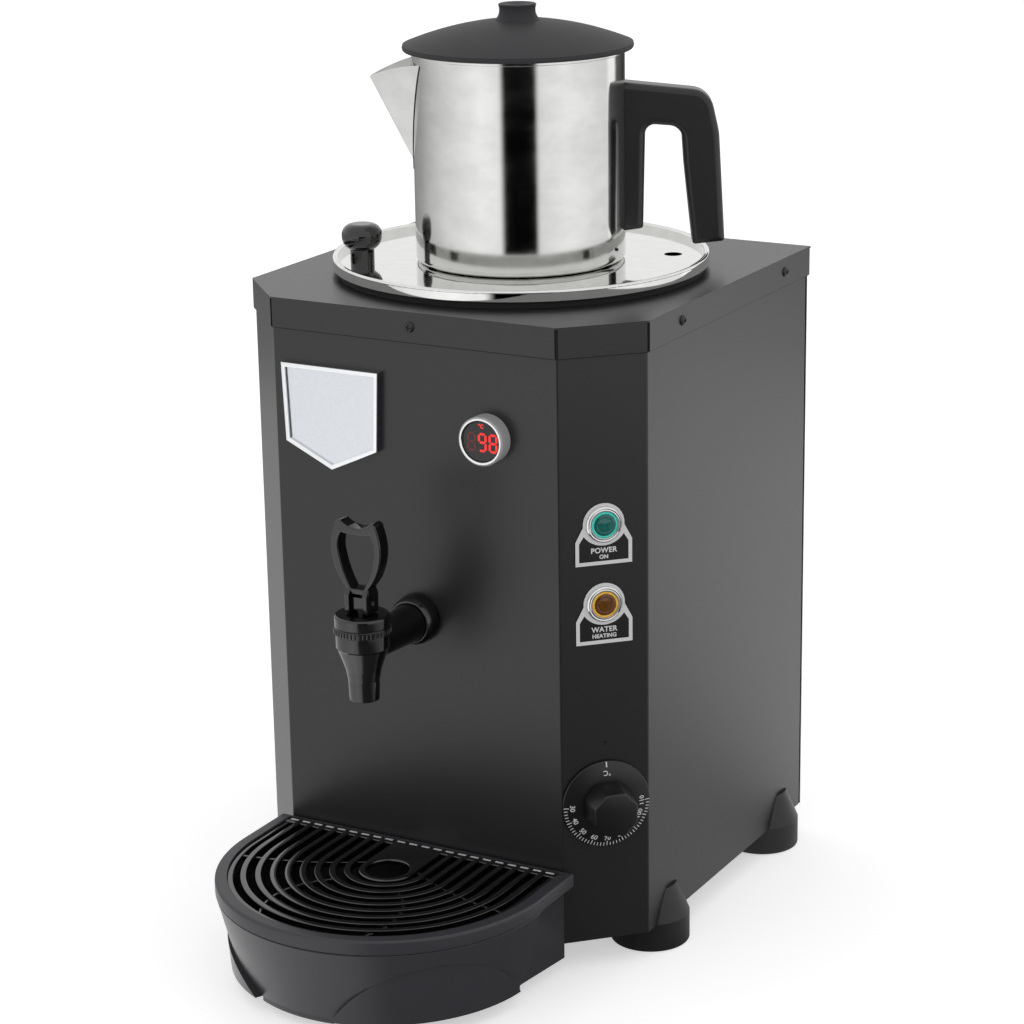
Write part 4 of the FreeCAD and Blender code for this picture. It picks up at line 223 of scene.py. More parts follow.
makeWorld()
makeFloor()
makeRing()
scene.view_settings.view_transform = "Standard"
print("studio ready")

# Materials: two colours, least and most roughness, size of the pattern (along X, Y and Z where it
# differs), depth of the relief, and what else the shader is given. Sizes are in millimetres.

metal = {"Metallic": 1.0}


def shine(level):
    return {"Specular IOR Level": level}


finishSettings = {
    # satin coat of the casing; its orange peel softens what the walls mirror
    "powderCoat": ("#1e1e20", "#232325", (0.30, 0.38), 0.9, 0.006),
    # blackened screws with a dull grain
    "blackScrew": ("#161617", "#202022", (0.32, 0.48), 0.5, 0.01),
    # moulded feet, finely grained and almost matt
    "grainedPlastic": ("#151516", "#19191b", (0.42, 0.5), 0.35, 0.02),
    # cold-rolled sheet of the tank, cloudy and softly mirroring
    "rolledSteel": ("#b4b4b2", "#c2c2c0", (0.2, 0.32), (30, 30, 1.2), 0.002, metal),
    # polished wall of the pot, with the cloudy look of wiped steel
    "polishedSteel": ("#cacac8", "#d6d6d4", (0.08, 0.13), (26, 26, 16), 0.002, metal),
    # bright plate of the tank's lid, nearly a mirror
    "mirrorSteel": ("#d8d8d6", "#dededc", (0.03, 0.07), 9, 0.0008, metal),
    # soft seals that swallow the light; the same dark finish also paints the shadow beside the spout
    # and under the cover's flange
    "rubberAndPaintedShadow": ("#121212", "#1a1a1a", (0.7, 0.85), 0.8, 0.02),
    # turned brass with a warm dull shine
    "turnedBrass": ("#b08d4a", "#9c7a3c", (0.22, 0.36), (6, 6, 0.4), 0.003, metal),
    # drawn copper, a little tarnished
    "drawnCopper": ("#b87045", "#96583a", (0.25, 0.42), 3, 0.003, metal),
    # deep black bakelite with a wet gloss and a barely uneven skin
    "glossBakelite": ("#0a0a0b", "#0e0e0f", (0.08, 0.15), 7, 0.012, shine(0.7)),
    # satin black of the thermostat's knob
    "satinPlastic": ("#111113", "#151517", (0.3, 0.38), 0.5, 0.006),
    # zinc-plated steel with cloudy passivation
    "zincPlate": ("#b2b6b9", "#c3c5bd", (0.3, 0.45), 4, 0.004, metal),
    # unglazed ceramic of the terminal block
    "plainCeramic": ("#d8d2c4", "#cfc8b8", (0.5, 0.65), 0.6, 0.01),
    # printed foil of the lamps' labels, smooth and black
    "labelFoil": ("#121213", "#161617", (0.28, 0.36), 0.4, 0.003),
    # chrome rings of the lamps, bright with slight waves
    "brightChrome": ("#dedede", "#e4e4e4", (0.05, 0.1), 3, 0.003, metal),
    # side of the thermometer's chrome bezel, given a pale grey colour in place of a mirror: a painted
    # reflection that stays pale from every side
    "paintedSheenSilver": ("#a9a9a9", "#b8b8b8", (0.34, 0.44), 0.6, 0.002),
    # pilot lamps' lenses, tinted and glossy
    "greenLens": ("#125c56", "#166c64", (0.05, 0.09), 2, 0.02),
    "amberLens": ("#5a3208", "#6e420c", (0.05, 0.09), 2, 0.02),
    # painted glow: the ring of a lens gets a bright colour, with no light of its own, standing in for
    # the lamp's light at its edge
    "greenLensRim": ("#33d6c6", "#5fe6d8", (0.06, 0.1), 2, 0.02),
    "amberLensRim": ("#eeb02a", "#ffd35a", (0.06, 0.1), 2, 0.02),
    # moulded bodies behind the panels, matt dark grey
    "innerPlastic": ("#202022", "#27272a", (0.45, 0.6), 0.6, 0.01),
    # dark window of the thermometer
    "smokedWindow": ("#070506", "#0a0708", (0.06, 0.1), 5, 0.002),
    # face of the cast badge, evenly silvered
    "badgeSilver": ("#d0d4d9", "#d4d7dc", (0.25, 0.27), 2, 0.0004, metal),
    # its rim, polished nearly white
    "badgeRimSilver": ("#e2e4e6", "#e8eaec", (0.14, 0.2), 5, 0.001, metal),
    # dark grey moulding of the drip tray, half glossy
    "trayPlastic": ("#3a393e", "#3e3d42", (0.3, 0.38), 0.8, 0.004, shine(0.35)),
    # black moulding of the grille, glossy so that its edges draw thin lines
    "grillePlastic": ("#08080a", "#0c0c0e", (0.07, 0.12), 6, 0.004, shine(0.85)),
    # satin moulding of the pot's lid
    "lidPlastic": ("#3c3c3e", "#404042", (0.5, 0.6), 0.7, 0.008, shine(0.12)),
    # satin moulding of the pot's handle
    "gripPlastic": ("#242426", "#29292b", (0.28, 0.36), 0.8, 0.006, shine(0.4)),
    # printed white of the labels and the knob's scale; the grille's pale dashes wear it as painted
    # highlights
    "whitePrintAndPaintedGlint": ("#d9d9d9", "#e2e2e2", (0.4, 0.5), 0.3, 0.003),
    # printed black mark on the panel
    "blackPrint": ("#060606", "#090909", (0.4, 0.5), 0.3, 0.003),
    # lit and unlit segments of the thermometer
    "litSegment": ("#c01010", "#d01818", (0.4, 0.5), 0.6, 0.001,
        {"Emission Color": hexColour("#ff2a1c"), "Emission Strength": 0.9}),
    "unlitSegment": ("#6e1f1c", "#782420", (0.4, 0.5), 0.6, 0.001),
}


grain = {
    "detail": 3.0, "roughness": 0.55,
    "tones": (0.35, 0.65),  # levels of the noise where the two colours are full
    "gloss": (0.3, 0.7),  # and where the roughness is least and most
}


def makeFinish(name, first, second, rough, cells, relief, others={}):
    s = SimpleNamespace(**grain)
    material, tree = newMaterial(name)
    spots = addNode(tree, "ShaderNodeTexCoord")
    sizes = cells if isinstance(cells, tuple) else [cells] * 3
    stretch = addNode(tree, "ShaderNodeMapping", {"Vector": spots.outputs["Object"],
            "Scale": [1 / (metre * size) for size in sizes]})
    fine = addNode(tree, "ShaderNodeTexNoise", {"Vector": stretch, "Scale": 1.0, "Detail": s.detail,
            "Roughness": s.roughness})
    tone = addNode(tree, "ShaderNodeValToRGB", {"Fac": fine})
    for stop, position, code in zip(tone.color_ramp.elements, s.tones, (first, second)):
        stop.color = hexColour(code)
        stop.position = position
    gloss = addNode(tree, "ShaderNodeMapRange", {"Value": fine, "From Min": s.gloss[0],
            "From Max": s.gloss[1], "To Min": rough[0], "To Max": rough[1]})
    bump = addNode(tree, "ShaderNodeBump", {"Height": fine, "Distance": relief * metre,
            "Strength": 1.0})
    shader = {"Base Color": tone, "Roughness": gloss, "Normal": bump, **others}
    feedNode(tree, tree.nodes["Principled BSDF"], shader)
    return material


finishes = {name: makeFinish(name, *settings) for name, settings in finishSettings.items()}

# Slot of the record: the finish that its CAD nodes wear
slotFinish = {
    "painted_steel": "powderCoat", "black_screw": "blackScrew", "foot_plastic": "grainedPlastic",
    "stainless": "rolledSteel", "pot_steel": "polishedSteel", "mirror_steel": "mirrorSteel",
    "rubber": "rubberAndPaintedShadow", "brass": "turnedBrass", "copper": "drawnCopper",
    "black_bakelite": "glossBakelite",
    "knob_plastic": "satinPlastic", "plated_steel": "zincPlate", "ceramic": "plainCeramic",
    "label_plate": "labelFoil", "chrome_trim": "brightChrome", "green_jewel": "greenLens",
    "amber_jewel": "amberLens", "inner_plastic": "innerPlastic", "display_glass": "smokedWindow",
    "badge_metal": "badgeSilver", "tray_plastic": "trayPlastic", "lid_plastic": "lidPlastic",
}
nodeFinish = {part["node"]: slotFinish[part["material_slot"]] for part in frame["record"]["subparts"]}
nodeFinish.update(teapot_handle="gripPlastic", teapot_spout="polishedSteel")
for name, finish in nodeFinish.items():
    for place in nodes[name].material_slots:
        place.material = finishes[finish]
print("materials ready")

# Shapes

weld = 1e-4  # distance at which doubles are merged


def spun(degrees, axis):
    return Matrix.Rotation(math.radians(degrees), 4, axis)


def polar(radius, turn, *height):
    return Vector((radius * math.cos(turn), radius * math.sin(turn), *height))


def roundedPath(points, closed=False, steps=5):
    # (x, y) is a sharp corner and (x, y, radius) a rounded one
    path = []
    count = len(points)
    for i, item in enumerate(points):
        spot = Vector(item[:2])
        if len(item) < 3 or (not closed and i in (0, count - 1)):
            path.append(spot)
            continue
        back = (Vector(points[i - 1][:2]) - spot).normalized()
        ahead = (Vector(points[(i + 1) % count][:2]) - spot).normalized()
        half = back.angle(ahead) / 2
        middle = spot + (back + ahead).normalized() * item[2] / math.sin(half)
        start = spot + back * item[2] / math.tan(half) - middle
        end = spot + ahead * item[2] / math.tan(half) - middle
        turn = math.atan2(start.cross(end), start.dot(end))
        path += [middle + Matrix.Rotation(turn * k / steps, 2) @ start for k in range(steps + 1)]
    return path


def arcBetween(start, middle, end, steps=16):
    # points after the start, up to the end, on the circle through all three
    a, b, c = Vector(start), Vector(middle), Vector(end)
    d = 2 * (a.x * (b.y - c.y) + b.x * (c.y - a.y) + c.x * (a.y - b.y))
    qa, qb, qc = a.length_squared, b.length_squared, c.length_squared
    centre = Vector(((qa * (b.y - c.y) + qb * (c.y - a.y) + qc * (a.y - b.y)) / d,
            (qa * (c.x - b.x) + qb * (a.x - c.x) + qc * (b.x - a.x)) / d))
    first, via, last = a - centre, b - centre, c - centre
    turn = math.atan2(first.cross(via), first.dot(via)) + math.atan2(via.cross(last), via.dot(last))
    return [centre + Matrix.Rotation(turn * k / steps, 2) @ first for k in range(1, steps + 1)]


def circlePath(radius, count=32, centre=(0, 0)):
    turns = [2 * math.pi * k / count for k in range(count)]
    return [Vector((centre[0] + radius * math.cos(turn), centre[1] + radius * math.sin(turn)))
            for turn in turns]


def boxPath(x, y, width, height):
    return [(x, y), (x + width, y), (x + width, y + height), (x, y + height)]


def turnedShape(points, sides=96, steps=5):
    # closed shape turned about Z from an outline of (radius, height)
    closed = points[0][0] > 0 and points[-1][0] > 0
    shape = bmesh.new()
    rings = []
    for spot in roundedPath(points, closed, steps):
        count = sides if spot.x > 1e-6 else 1
        rings.append([shape.verts.new(polar(spot.x, 2 * math.pi * k / sides, spot.y))
                for k in range(count)])
    for low, high in zip(rings, rings[1:] + rings[:1] if closed else rings[1:]):
        for k in range(sides):
            after = (k + 1) % sides
            if len(low) == 1:
                shape.faces.new((low[0], high[k], high[after]))
            elif len(high) == 1:
                shape.faces.new((low[k], high[0], low[after]))
            else:
                shape.faces.new((low[k], high[k], high[after], low[after]))
    return shape


def plateShape(loops, low, high, edge=0.0, steps=3):
    # outlines, outside first and then holes, raised from low to high with rounded edges
    data = bpy.data.curves.new("outline", "CURVE")
    data.dimensions = "2D"
    data.fill_mode = "BOTH"
    data.extrude = (high - low) / 2 - edge
    data.bevel_depth = edge
    data.bevel_resolution = steps
    data.offset = -edge
    for loop in loops:
        addSpline(data, loop, 0, True)
    return curveShape(data, (low + high) / 2)


def textShape(words, size, depth, place=Matrix(), bold=0.0, spacing=1.0):
    data = bpy.data.curves.new("print", "FONT")
    data.body = words
    data.size = size
    data.extrude = depth / 2
    data.offset = bold
    data.space_character = spacing
    data.align_x = data.align_y = "CENTER"
    shape = curveShape(data, depth / 2)
    shape.transform(place)
    return shape


def addSpline(data, points, lift, closed):
    spline = data.splines.new("POLY")
    spline.points.add(len(points) - 1)
    for point, spot in zip(spline.points, points):
        point.co = (spot[0], spot[1], lift, 1)
    spline.use_cyclic_u = closed


def evaluated(item):
    # plain mesh of an object as its modifiers leave it
    return bpy.data.meshes.new_from_object(item.evaluated_get(bpy.context.evaluated_depsgraph_get()))


def shapeOf(mesh):
    # takes the mesh's faces and removes the mesh
    shape = bmesh.new()
    shape.from_mesh(mesh)
    bpy.data.meshes.remove(mesh)
    return shape


def curveShape(data, lift):
    # closed mesh of a flat curve or a text, in its own plane
    item = addItem("outline", data)
    shape = shapeOf(evaluated(item))
    bpy.data.objects.remove(item)
    bmesh.ops.remove_doubles(shape, verts=shape.verts, dist=weld)
    bmesh.ops.translate(shape, verts=shape.verts, vec=(0, 0, lift))
    return shape


def stackedShape(rings):
    # rings of as many corners each, joined one to the next, with both ends closed
    shape = bmesh.new()
    rows = [[shape.verts.new(spot) for spot in ring] for ring in rings]
    count = len(rows[0])
    for low, high in zip(rows, rows[1:]):
        for k in range(count):
            shape.faces.new((low[k], low[(k + 1) % count], high[(k + 1) % count], high[k]))
    shape.faces.new(rows[0][::-1])
    shape.faces.new(rows[-1])
    return shape


def tubeShape(points, radius, sides=8):
    # thin closed tube along a path in space
    rings = []
    for k, spot in enumerate(points):
        turn = (points[min(k + 1, len(points) - 1)] - points[max(k - 1, 0)]).to_track_quat("Z", "X")
        rings.append([spot + turn @ polar(radius, 2 * math.pi * i / sides, 0) for i in range(sides)])
    return stackedShape(rings)


def beadShape(ring, height, radius, sides=160, count=12):
    # round ring about Z
    return turnedShape(circlePath(radius, count, (ring, height)), sides)


def meshOf(shape, place=Matrix()):
    # the shape in millimetres becomes a mesh in metres, at its place on the urn
    bmesh.ops.recalc_face_normals(shape, faces=shape.faces)
    shape.transform(Matrix.Scale(metre, 4) @ place)
    mesh = bpy.data.meshes.new("piece")
    shape.to_mesh(mesh)
    shape.free()
    return mesh


def joined(*shapes):
    # closed shapes fused into one
    items = [addItem("tool", meshOf(shape, Matrix.Scale(1 / metre, 4))) for shape in shapes]
    for other in items[1:]:
        fuse = items[0].modifiers.new("fuse", "BOOLEAN")
        fuse.operation = "UNION"
        fuse.solver = "EXACT"
        fuse.object = other
    shape = shapeOf(evaluated(items[0]))
    for item in items:
        bpy.data.objects.remove(item)
    return shape


def addShape(shape, other):
    # takes the other shape's faces in
    mesh = bpy.data.meshes.new("added")
    other.to_mesh(mesh)
    other.free()
    shape.from_mesh(mesh)
    bpy.data.meshes.remove(mesh)


def addPiece(name, shape, place, finish, body, replaced=(), crease=32):
    # one finished piece, or what it replaces; edges sharper than the crease stay sharp
    mesh = meshOf(shape, place)
    mesh.name = name
    mesh.materials.clear()
    mesh.materials.append(finishes[finish])
    mesh.shade_smooth()
    mesh.set_sharp_from_angle(angle=math.radians(crease))
    piece = addItem(name, mesh)
    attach(piece, body)
    if replaced:
        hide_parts(*replaced)


def newTree(name, values):
    # geometry tree with a named input for each value; returns it and its inputs
    tree = bpy.data.node_groups.new(name, "GeometryNodeTree")
    tree.interface.new_socket("Geometry", in_out="INPUT", socket_type="NodeSocketGeometry")
    for label, value in values.items():
        kind = "NodeSocketInt" if isinstance(value, int) else "NodeSocketFloat"
        tree.interface.new_socket(label, in_out="INPUT", socket_type=kind).default_value = value
    tree.interface.new_socket("Geometry", in_out="OUTPUT", socket_type="NodeSocketGeometry")
    return tree, addNode(tree, "NodeGroupInput").outputs


def closeTree(tree, geometry, finish):
    real = addNode(tree, "GeometryNodeRealizeInstances", {"Geometry": geometry})
    painted = addNode(tree, "GeometryNodeSetMaterial", {"Geometry": real, "Material": finishes[finish]})
    addNode(tree, "NodeGroupOutput", {"Geometry": painted})
    return tree


def grownShape(tree, values, source=None):
    # runs a geometry tree on a curve, a mesh or nothing and returns the plain shape
    item = addItem("grown", source or bpy.data.meshes.new("empty"))
    run = item.modifiers.new("grow", "NODES")
    run.node_group = tree
    for socket in tree.interface.items_tree:
        if socket.in_out == "INPUT" and socket.name in values:
            run[socket.identifier] = values[socket.name]
    mesh = evaluated(item)
    item.modifiers.clear()
    bpy.data.objects.remove(item)
    shape = shapeOf(mesh)
    bmesh.ops.remove_doubles(shape, verts=shape.verts, dist=weld)
    return shape


# Frames of the walls: X runs across the wall, Y up it and Z out of it

wallPlaces = {
    "frontY": -69.25, "backY": 208.75, "halfWidth": 140.0,
    "cutCorner": (120.0, -49.25, 0.0),  # middle of the right cut corner
}
wall = SimpleNamespace(**wallPlaces)
upright = spun(90, "X")


def onFront(x, z):
    return Matrix.Translation((x, wall.frontY, z)) @ upright


def onCorner(z):
    middle = Vector(wall.cutCorner) + Vector((0, 0, z))
    return Matrix.Translation(middle) @ spun(45, "Z") @ upright


# Casing screws: round heads with a cross recess

casingScrews = {
    "screw": {"Head Radius": 3.4, "Head Height": 2.0, "Recess Width": 0.9, "Recess Length": 3.6,
        "Recess Depth": 1.1, "Shank Radius": 1.9, "Shank Length": 9.0},
    "tool": 20.0,  # cube that cuts the dome's lower half away
    "headSides": 40, "headRings": 24, "shankSides": 24, "coverHeight": 406.6,
    "coverReach": 1.5,  # flange outside the casing
    "sideY": (15.75, 168.75), "backX": 131.0, "backHeights": (49.0, 216.75, 365.5),
}


def addBoolean(tree, operation, *meshes):
    # the others are cut from the first mesh, or all are fused
    node = addNode(tree, "GeometryNodeMeshBoolean", operation=operation, solver="EXACT")
    for k, mesh in enumerate(meshes):
        cut = operation == "DIFFERENCE" and k == 0
        tree.links.new(mesh.outputs[0], node.inputs["Mesh 1" if cut else "Mesh 2"])
    return node


def addMoved(tree, mesh, step):
    return addNode(tree, "GeometryNodeTransform", {"Geometry": mesh, "Translation": step})


def screwTree():
    s = SimpleNamespace(**casingScrews)
    tree, given = newTree("roundHeadScrews", s.screw)
    ball = addNode(tree, "GeometryNodeMeshUVSphere", {"Segments": s.headSides, "Rings": s.headRings,
            "Radius": 1.0})
    size = addVector(tree, given["Head Radius"], given["Head Radius"], given["Head Height"])
    head = addNode(tree, "GeometryNodeTransform", {"Geometry": ball, "Scale": size})
    under = addNode(tree, "GeometryNodeMeshCube", {"Size": [s.tool] * 3})
    cutters = [addMoved(tree, under, (0, 0, -s.tool / 2))]
    depth = addMath(tree, "MULTIPLY", given["Recess Depth"], 2.0)
    top = addVector(tree, z=given["Head Height"])
    for first, last in (("Recess Length", "Recess Width"), ("Recess Width", "Recess Length")):
        blade = addVector(tree, given[first], given[last], depth)
        bar = addNode(tree, "GeometryNodeMeshCube", {"Size": blade})
        cutters.append(addMoved(tree, bar, top))
    for cutter in cutters:
        head = addBoolean(tree, "DIFFERENCE", head, cutter)
    shank = addNode(tree, "GeometryNodeMeshCylinder", {"Vertices": s.shankSides,
            "Radius": given["Shank Radius"], "Depth": given["Shank Length"]})
    lower = addVector(tree, z=addMath(tree, "MULTIPLY", given["Shank Length"], -0.5))
    screw = addBoolean(tree, "UNION", head, addMoved(tree, shank, lower))
    aim = addNode(tree, "GeometryNodeInputNamedAttribute", {"Name": "aim"}, data_type="FLOAT_VECTOR")
    turn = addNode(tree, "FunctionNodeAlignRotationToVector", {"Vector": aim}, axis="Z")
    screws = addNode(tree, "GeometryNodeInstanceOnPoints", {"Points": given["Geometry"],
            "Instance": screw, "Rotation": turn})
    return closeTree(tree, screws, "blackScrew")


def pointsAiming(places):
    # mesh of points, each with the way that it faces
    mesh = bpy.data.meshes.new("places")
    mesh.from_pydata([place for place, aim in places], [], [])
    aims = mesh.attributes.new("aim", "FLOAT_VECTOR", "POINT")
    for k, (place, aim) in enumerate(places):
        aims.data[k].vector = aim
    return mesh


def makeCasingScrews():
    s = SimpleNamespace(**casingScrews)
    tree = screwTree()
    out, z = s.coverReach, s.coverHeight
    cover = [((0, wall.frontY - out, z), (0, -1, 0)), ((0, wall.backY + out, z), (0, 1, 0))]
    for side in (-1, 1):
        cover += [((side * (wall.halfWidth + out), y, z), (side, 0, 0)) for y in s.sideY]
    back = [((side * s.backX, wall.backY, z), (0, 1, 0)) for side in (-1, 1)
            for z in s.backHeights]
    for area, places in (("cover", cover), ("back", back)):
        shape = grownShape(tree, s.screw, pointsAiming(places))
        addPiece(area + "Screws", shape, Matrix(), "blackScrew", "root",
                (area + "_screws",))


makeCasingScrews()
print("screws ready")

# Tap: a turned bakelite barrel on its arm, a knurled bonnet and a looped lever

tap = {
    "place": (0, -134.75, 220.5),
    "reach": 65.5,  # barrel's axis in front of the wall
    "pinRise": 30.2,  # lever's pin above the tap's axis
    "armNear": 13.0,  # radius at the wall
    "armFar": 10.0,  # radius at the barrel
    "armStart": 13.0,
    "shank": (7.9, 30.8),  # radius and length behind the wall
    "barrel": [(6, -31.8), (9.3, -31.8, 0.5), (9.75, -19.1, 0.8), (11, -12.5, 3), (13, -6.5, 3),
        (15.9, 1.4, 0.8), (16.5, 2.3, 0.3), (16.5, 11.1, 0.5), (10, 11.1), (10, -5.5), (6, -5.5)],
    "bonnet": [(8, 7.5), (9.9, 7.5), (9.9, 11.1), (17.2, 11.1, 0.4), (17.2, 15.2, 0.4),
        (16.4, 15.5, 0.2), (17, 16.2, 0.3), (17, 22.99, 1.6), (3.1, 22.99), (3.1, 19.99), (8, 19.99)],
    "collar": [(13.1, 0), (16, 0, 0.4), (16, 3, 1.2), (15.2, 8.4, 3), (13.6, 12, 1.2), (13.1, 12)],
    "sides": 128, "armSides": 64, "knurlSides": 10,
    "knurls": {"Count": 44, "Ring Radius": 17.15, "Knurl Radius": 0.62, "Height": 3.1, "Foot": 11.6},
}


def knurlTree():
    tree, given = newTree("knurledRing", tap["knurls"])
    ring = addNode(tree, "GeometryNodeMeshCircle", {"Vertices": given["Count"],
            "Radius": given["Ring Radius"]})
    bar = addNode(tree, "GeometryNodeMeshCylinder", {"Vertices": tap["knurlSides"],
            "Radius": given["Knurl Radius"], "Depth": given["Height"]})
    lift = addVector(tree, z=addMath(tree, "MULTIPLY_ADD", given["Height"], 0.5, given["Foot"]))
    raised = addMoved(tree, bar, lift)
    bars = addNode(tree, "GeometryNodeInstanceOnPoints", {"Points": ring, "Instance": raised})
    return closeTree(tree, bars, "glossBakelite")


def makeTap():
    s = SimpleNamespace(**tap)
    place = Matrix.Translation(s.place)
    bore, inside = s.shank[0], s.reach + s.shank[1]
    arm = turnedShape([(0, s.armStart), (s.armFar, s.armStart), (s.armNear, s.reach), (bore, s.reach),
            (bore, inside), (0, inside)], s.armSides)
    arm.transform(spun(-90, "X"))
    barrel = joined(turnedShape(s.barrel, s.sides), arm)
    bonnet = joined(turnedShape(s.bonnet, s.sides), grownShape(knurlTree(), s.knurls))
    for name, shape, where, node in (
            ("tapBarrel", barrel, place, "tap_body"), ("tapBonnet", bonnet, place, "tap_bonnet"),
            ("tapCollar", turnedShape(s.collar), onFront(0, s.place[2]), "tap_collar")):
        addPiece(name, shape, where, "glossBakelite", "root", (node,))


makeTap()

lever = {
    # right half from the bridge up; ("via", x, y) bends the run between its neighbours
    "loop": [(7.9, 5.8), (7.9, 10), ("via", 14.4, 20.5), (17.25, 33), ("via", 16.4, 42), (14.4, 48.6),
        ("via", 13, 51), (10.4, 51.3)],
    "crown": 47.4,
    "window": [(4.4, 9.2), ("via", 9.4, 20), (12.6, 32.5), ("via", 12, 39.5), (10.1, 43.8)],
    "windowCrown": 42.8, "depth": 10.0, "edge": 0.8, "legs": (4.6, 7.8),
    "leg": [(-7, -6.7, 2.5), (7, -6.7, 2.5), (7, 5.8, 1.5), (5, 9.2), (-5, 9.2), (-7, 5.8, 1.5)],
    "legEdge": 0.5, "pinHole": 1.55,
}


def bentOutline(points):
    path = []
    for k, item in enumerate(points):
        if item[0] == "via":
            path += arcBetween(path[-1], item[1:], points[k + 1])
        elif k == 0 or points[k - 1][0] != "via":
            path.append(Vector(item))
    return path


def mirroredOutline(half, crown):
    right = bentOutline(half)
    left = [Vector((-spot.x, spot.y)) for spot in reversed(right)]
    return right + arcBetween(right[-1], (0, crown), left[0])[:-1] + left


def makeLever():
    s = SimpleNamespace(**lever)
    half = s.depth / 2
    loop = plateShape([mirroredOutline(s.loop, s.crown), mirroredOutline(s.window, s.windowCrown)],
            -half, half, s.edge)
    aside = Matrix(((0, 0, 1, 0), (1, 0, 0, 0), (0, 1, 0, 0), (0, 0, 0, 1)))
    for low, high in (s.legs, (-s.legs[1], -s.legs[0])):
        leg = plateShape([roundedPath(s.leg, True), circlePath(s.pinHole)], low, high, s.legEdge)
        leg.transform(upright.inverted() @ aside)
        addShape(loop, leg)
    x, y, z = tap["place"]
    place = Matrix.Translation((x, y, z + tap["pinRise"])) @ upright
    addPiece("tapLever", loop, place, "glossBakelite", "tap_lever", ("tap_lever",))


makeLever()
print("tap ready")

# Drip tray: a leaning wall that stands upright inside two arches, under a band with a groove

tray = {
    "middleY": -114.75, "backY": -69.75, "footZ": 10.0, "floor": 3.0, "wall": 4.0, "wallTop": 58.8,
    "footRadius": 95.2, "topRadius": 107.5,
    "sideHalf": 101.0,  # half width of the wall at the back
    "grooveHalf": 106.6, "bandHalf": 108.0, "bandFoot": 60.0, "bandEdge": 0.4, "top": 69.0,
    "rimRound": 2.0, "rimSteps": 4, "rimBack": 3.0,
    "mouthHalf": 100.0,  # the grille lies in this, on a ledge
    "mouthEdge": 0.3, "ledge": 3.5, "ledgeFoot": 61.0, "grilleFoot": 64.5,
    "arches": ((-42.5, 61.0, 48.5), (-153.5, 64.0, 30.0)),  # way they face, half width, crown
    "archFoot": 100.0,  # radius of the upright wall at its foot and at the higher crown
    "archTop": 103.1, "archTopZ": 48.5,
    "archRadius": 101.0,  # where the arches' widths are measured
    "columnStep": 2.5,  # degrees
    "sideGap": 0.01,  # degrees between the half round's ends and the sides
    "edgeGap": 0.05,  # degrees across an arch's edge
    "archTurn": 6, "archRows": 5,  # degrees by which columns draw in to an arch's ends, and how many
    "sideShares": (0.0, 0.2, 0.4, 0.6, 0.75, 0.8, 0.85, 1.0), "backShares": (-0.98, 0.0, 0.98),
    "lowRows": 6, "highRows": 8, "legs": ((-114, -79.6), (-6, -1), (-179, -174)),
    "legRadii": (91.2, 94.7), "legFoot": 6.5,
    "legGrip": 1.0,  # inside the tray's floor
    "legEdge": 0.4, "legSteps": 12, "crease": 24,
}


def trayColumns():
    # ("arc", angle), ("side", side, share of the way back) and ("back", share of the half width)
    s = SimpleNamespace(**tray)
    angles = {-s.sideGap, s.sideGap - 180}
    angles.update(-s.columnStep * k for k in range(1, int(180 / s.columnStep)))
    for way, half, _ in s.arches:
        turn = math.degrees(math.asin(half / s.archRadius))
        ends = [way - turn, way + turn]
        angles = {a for a in angles if all(abs(a - end) > 1 for end in ends)}
        for end, out in zip(ends, (-s.edgeGap, s.edgeGap)):
            angles.update((end, end + out))
            for k in range(1, s.archRows + 1):
                inward = turn * (1 - math.cos(math.radians(s.archTurn * k)))
                angles.add(end - math.copysign(inward, out))
    columns = [("arc", a) for a in sorted(angles, reverse=True) if -180 < a < 0]
    columns += [("side", -1, share) for share in s.sideShares]
    columns += [("back", share) for share in s.backShares]
    return columns + [("side", 1, share) for share in reversed(s.sideShares)]


def trayPoint(column, radius, rear, back):
    # place on an outline with a half-round front, round the front's own middle
    if column[0] == "arc":
        return Vector((radius, 0)) @ Matrix.Rotation(math.radians(-column[1]), 2)
    if column[0] == "side":
        return Vector((column[1] * (radius + (rear - radius) * column[2]), back * column[2]))
    return Vector((column[1] * rear, back))


def archHeight(spot):
    # height of the arch's edge at this place on the wall, or None
    s = SimpleNamespace(**tray)
    turn = math.atan2(spot.y, spot.x)
    for way, half, crown in s.arches:
        off = (turn - math.radians(way) + math.pi) % (2 * math.pi) - math.pi
        across = abs(s.archRadius * math.sin(off))
        if math.cos(off) > 0 and across <= half + weld:
            rise = crown - s.footZ
            radius = (half * half + rise * rise) / (2 * rise)
            return crown - radius + math.sqrt(max(radius * radius - across * across, 0))
    return None


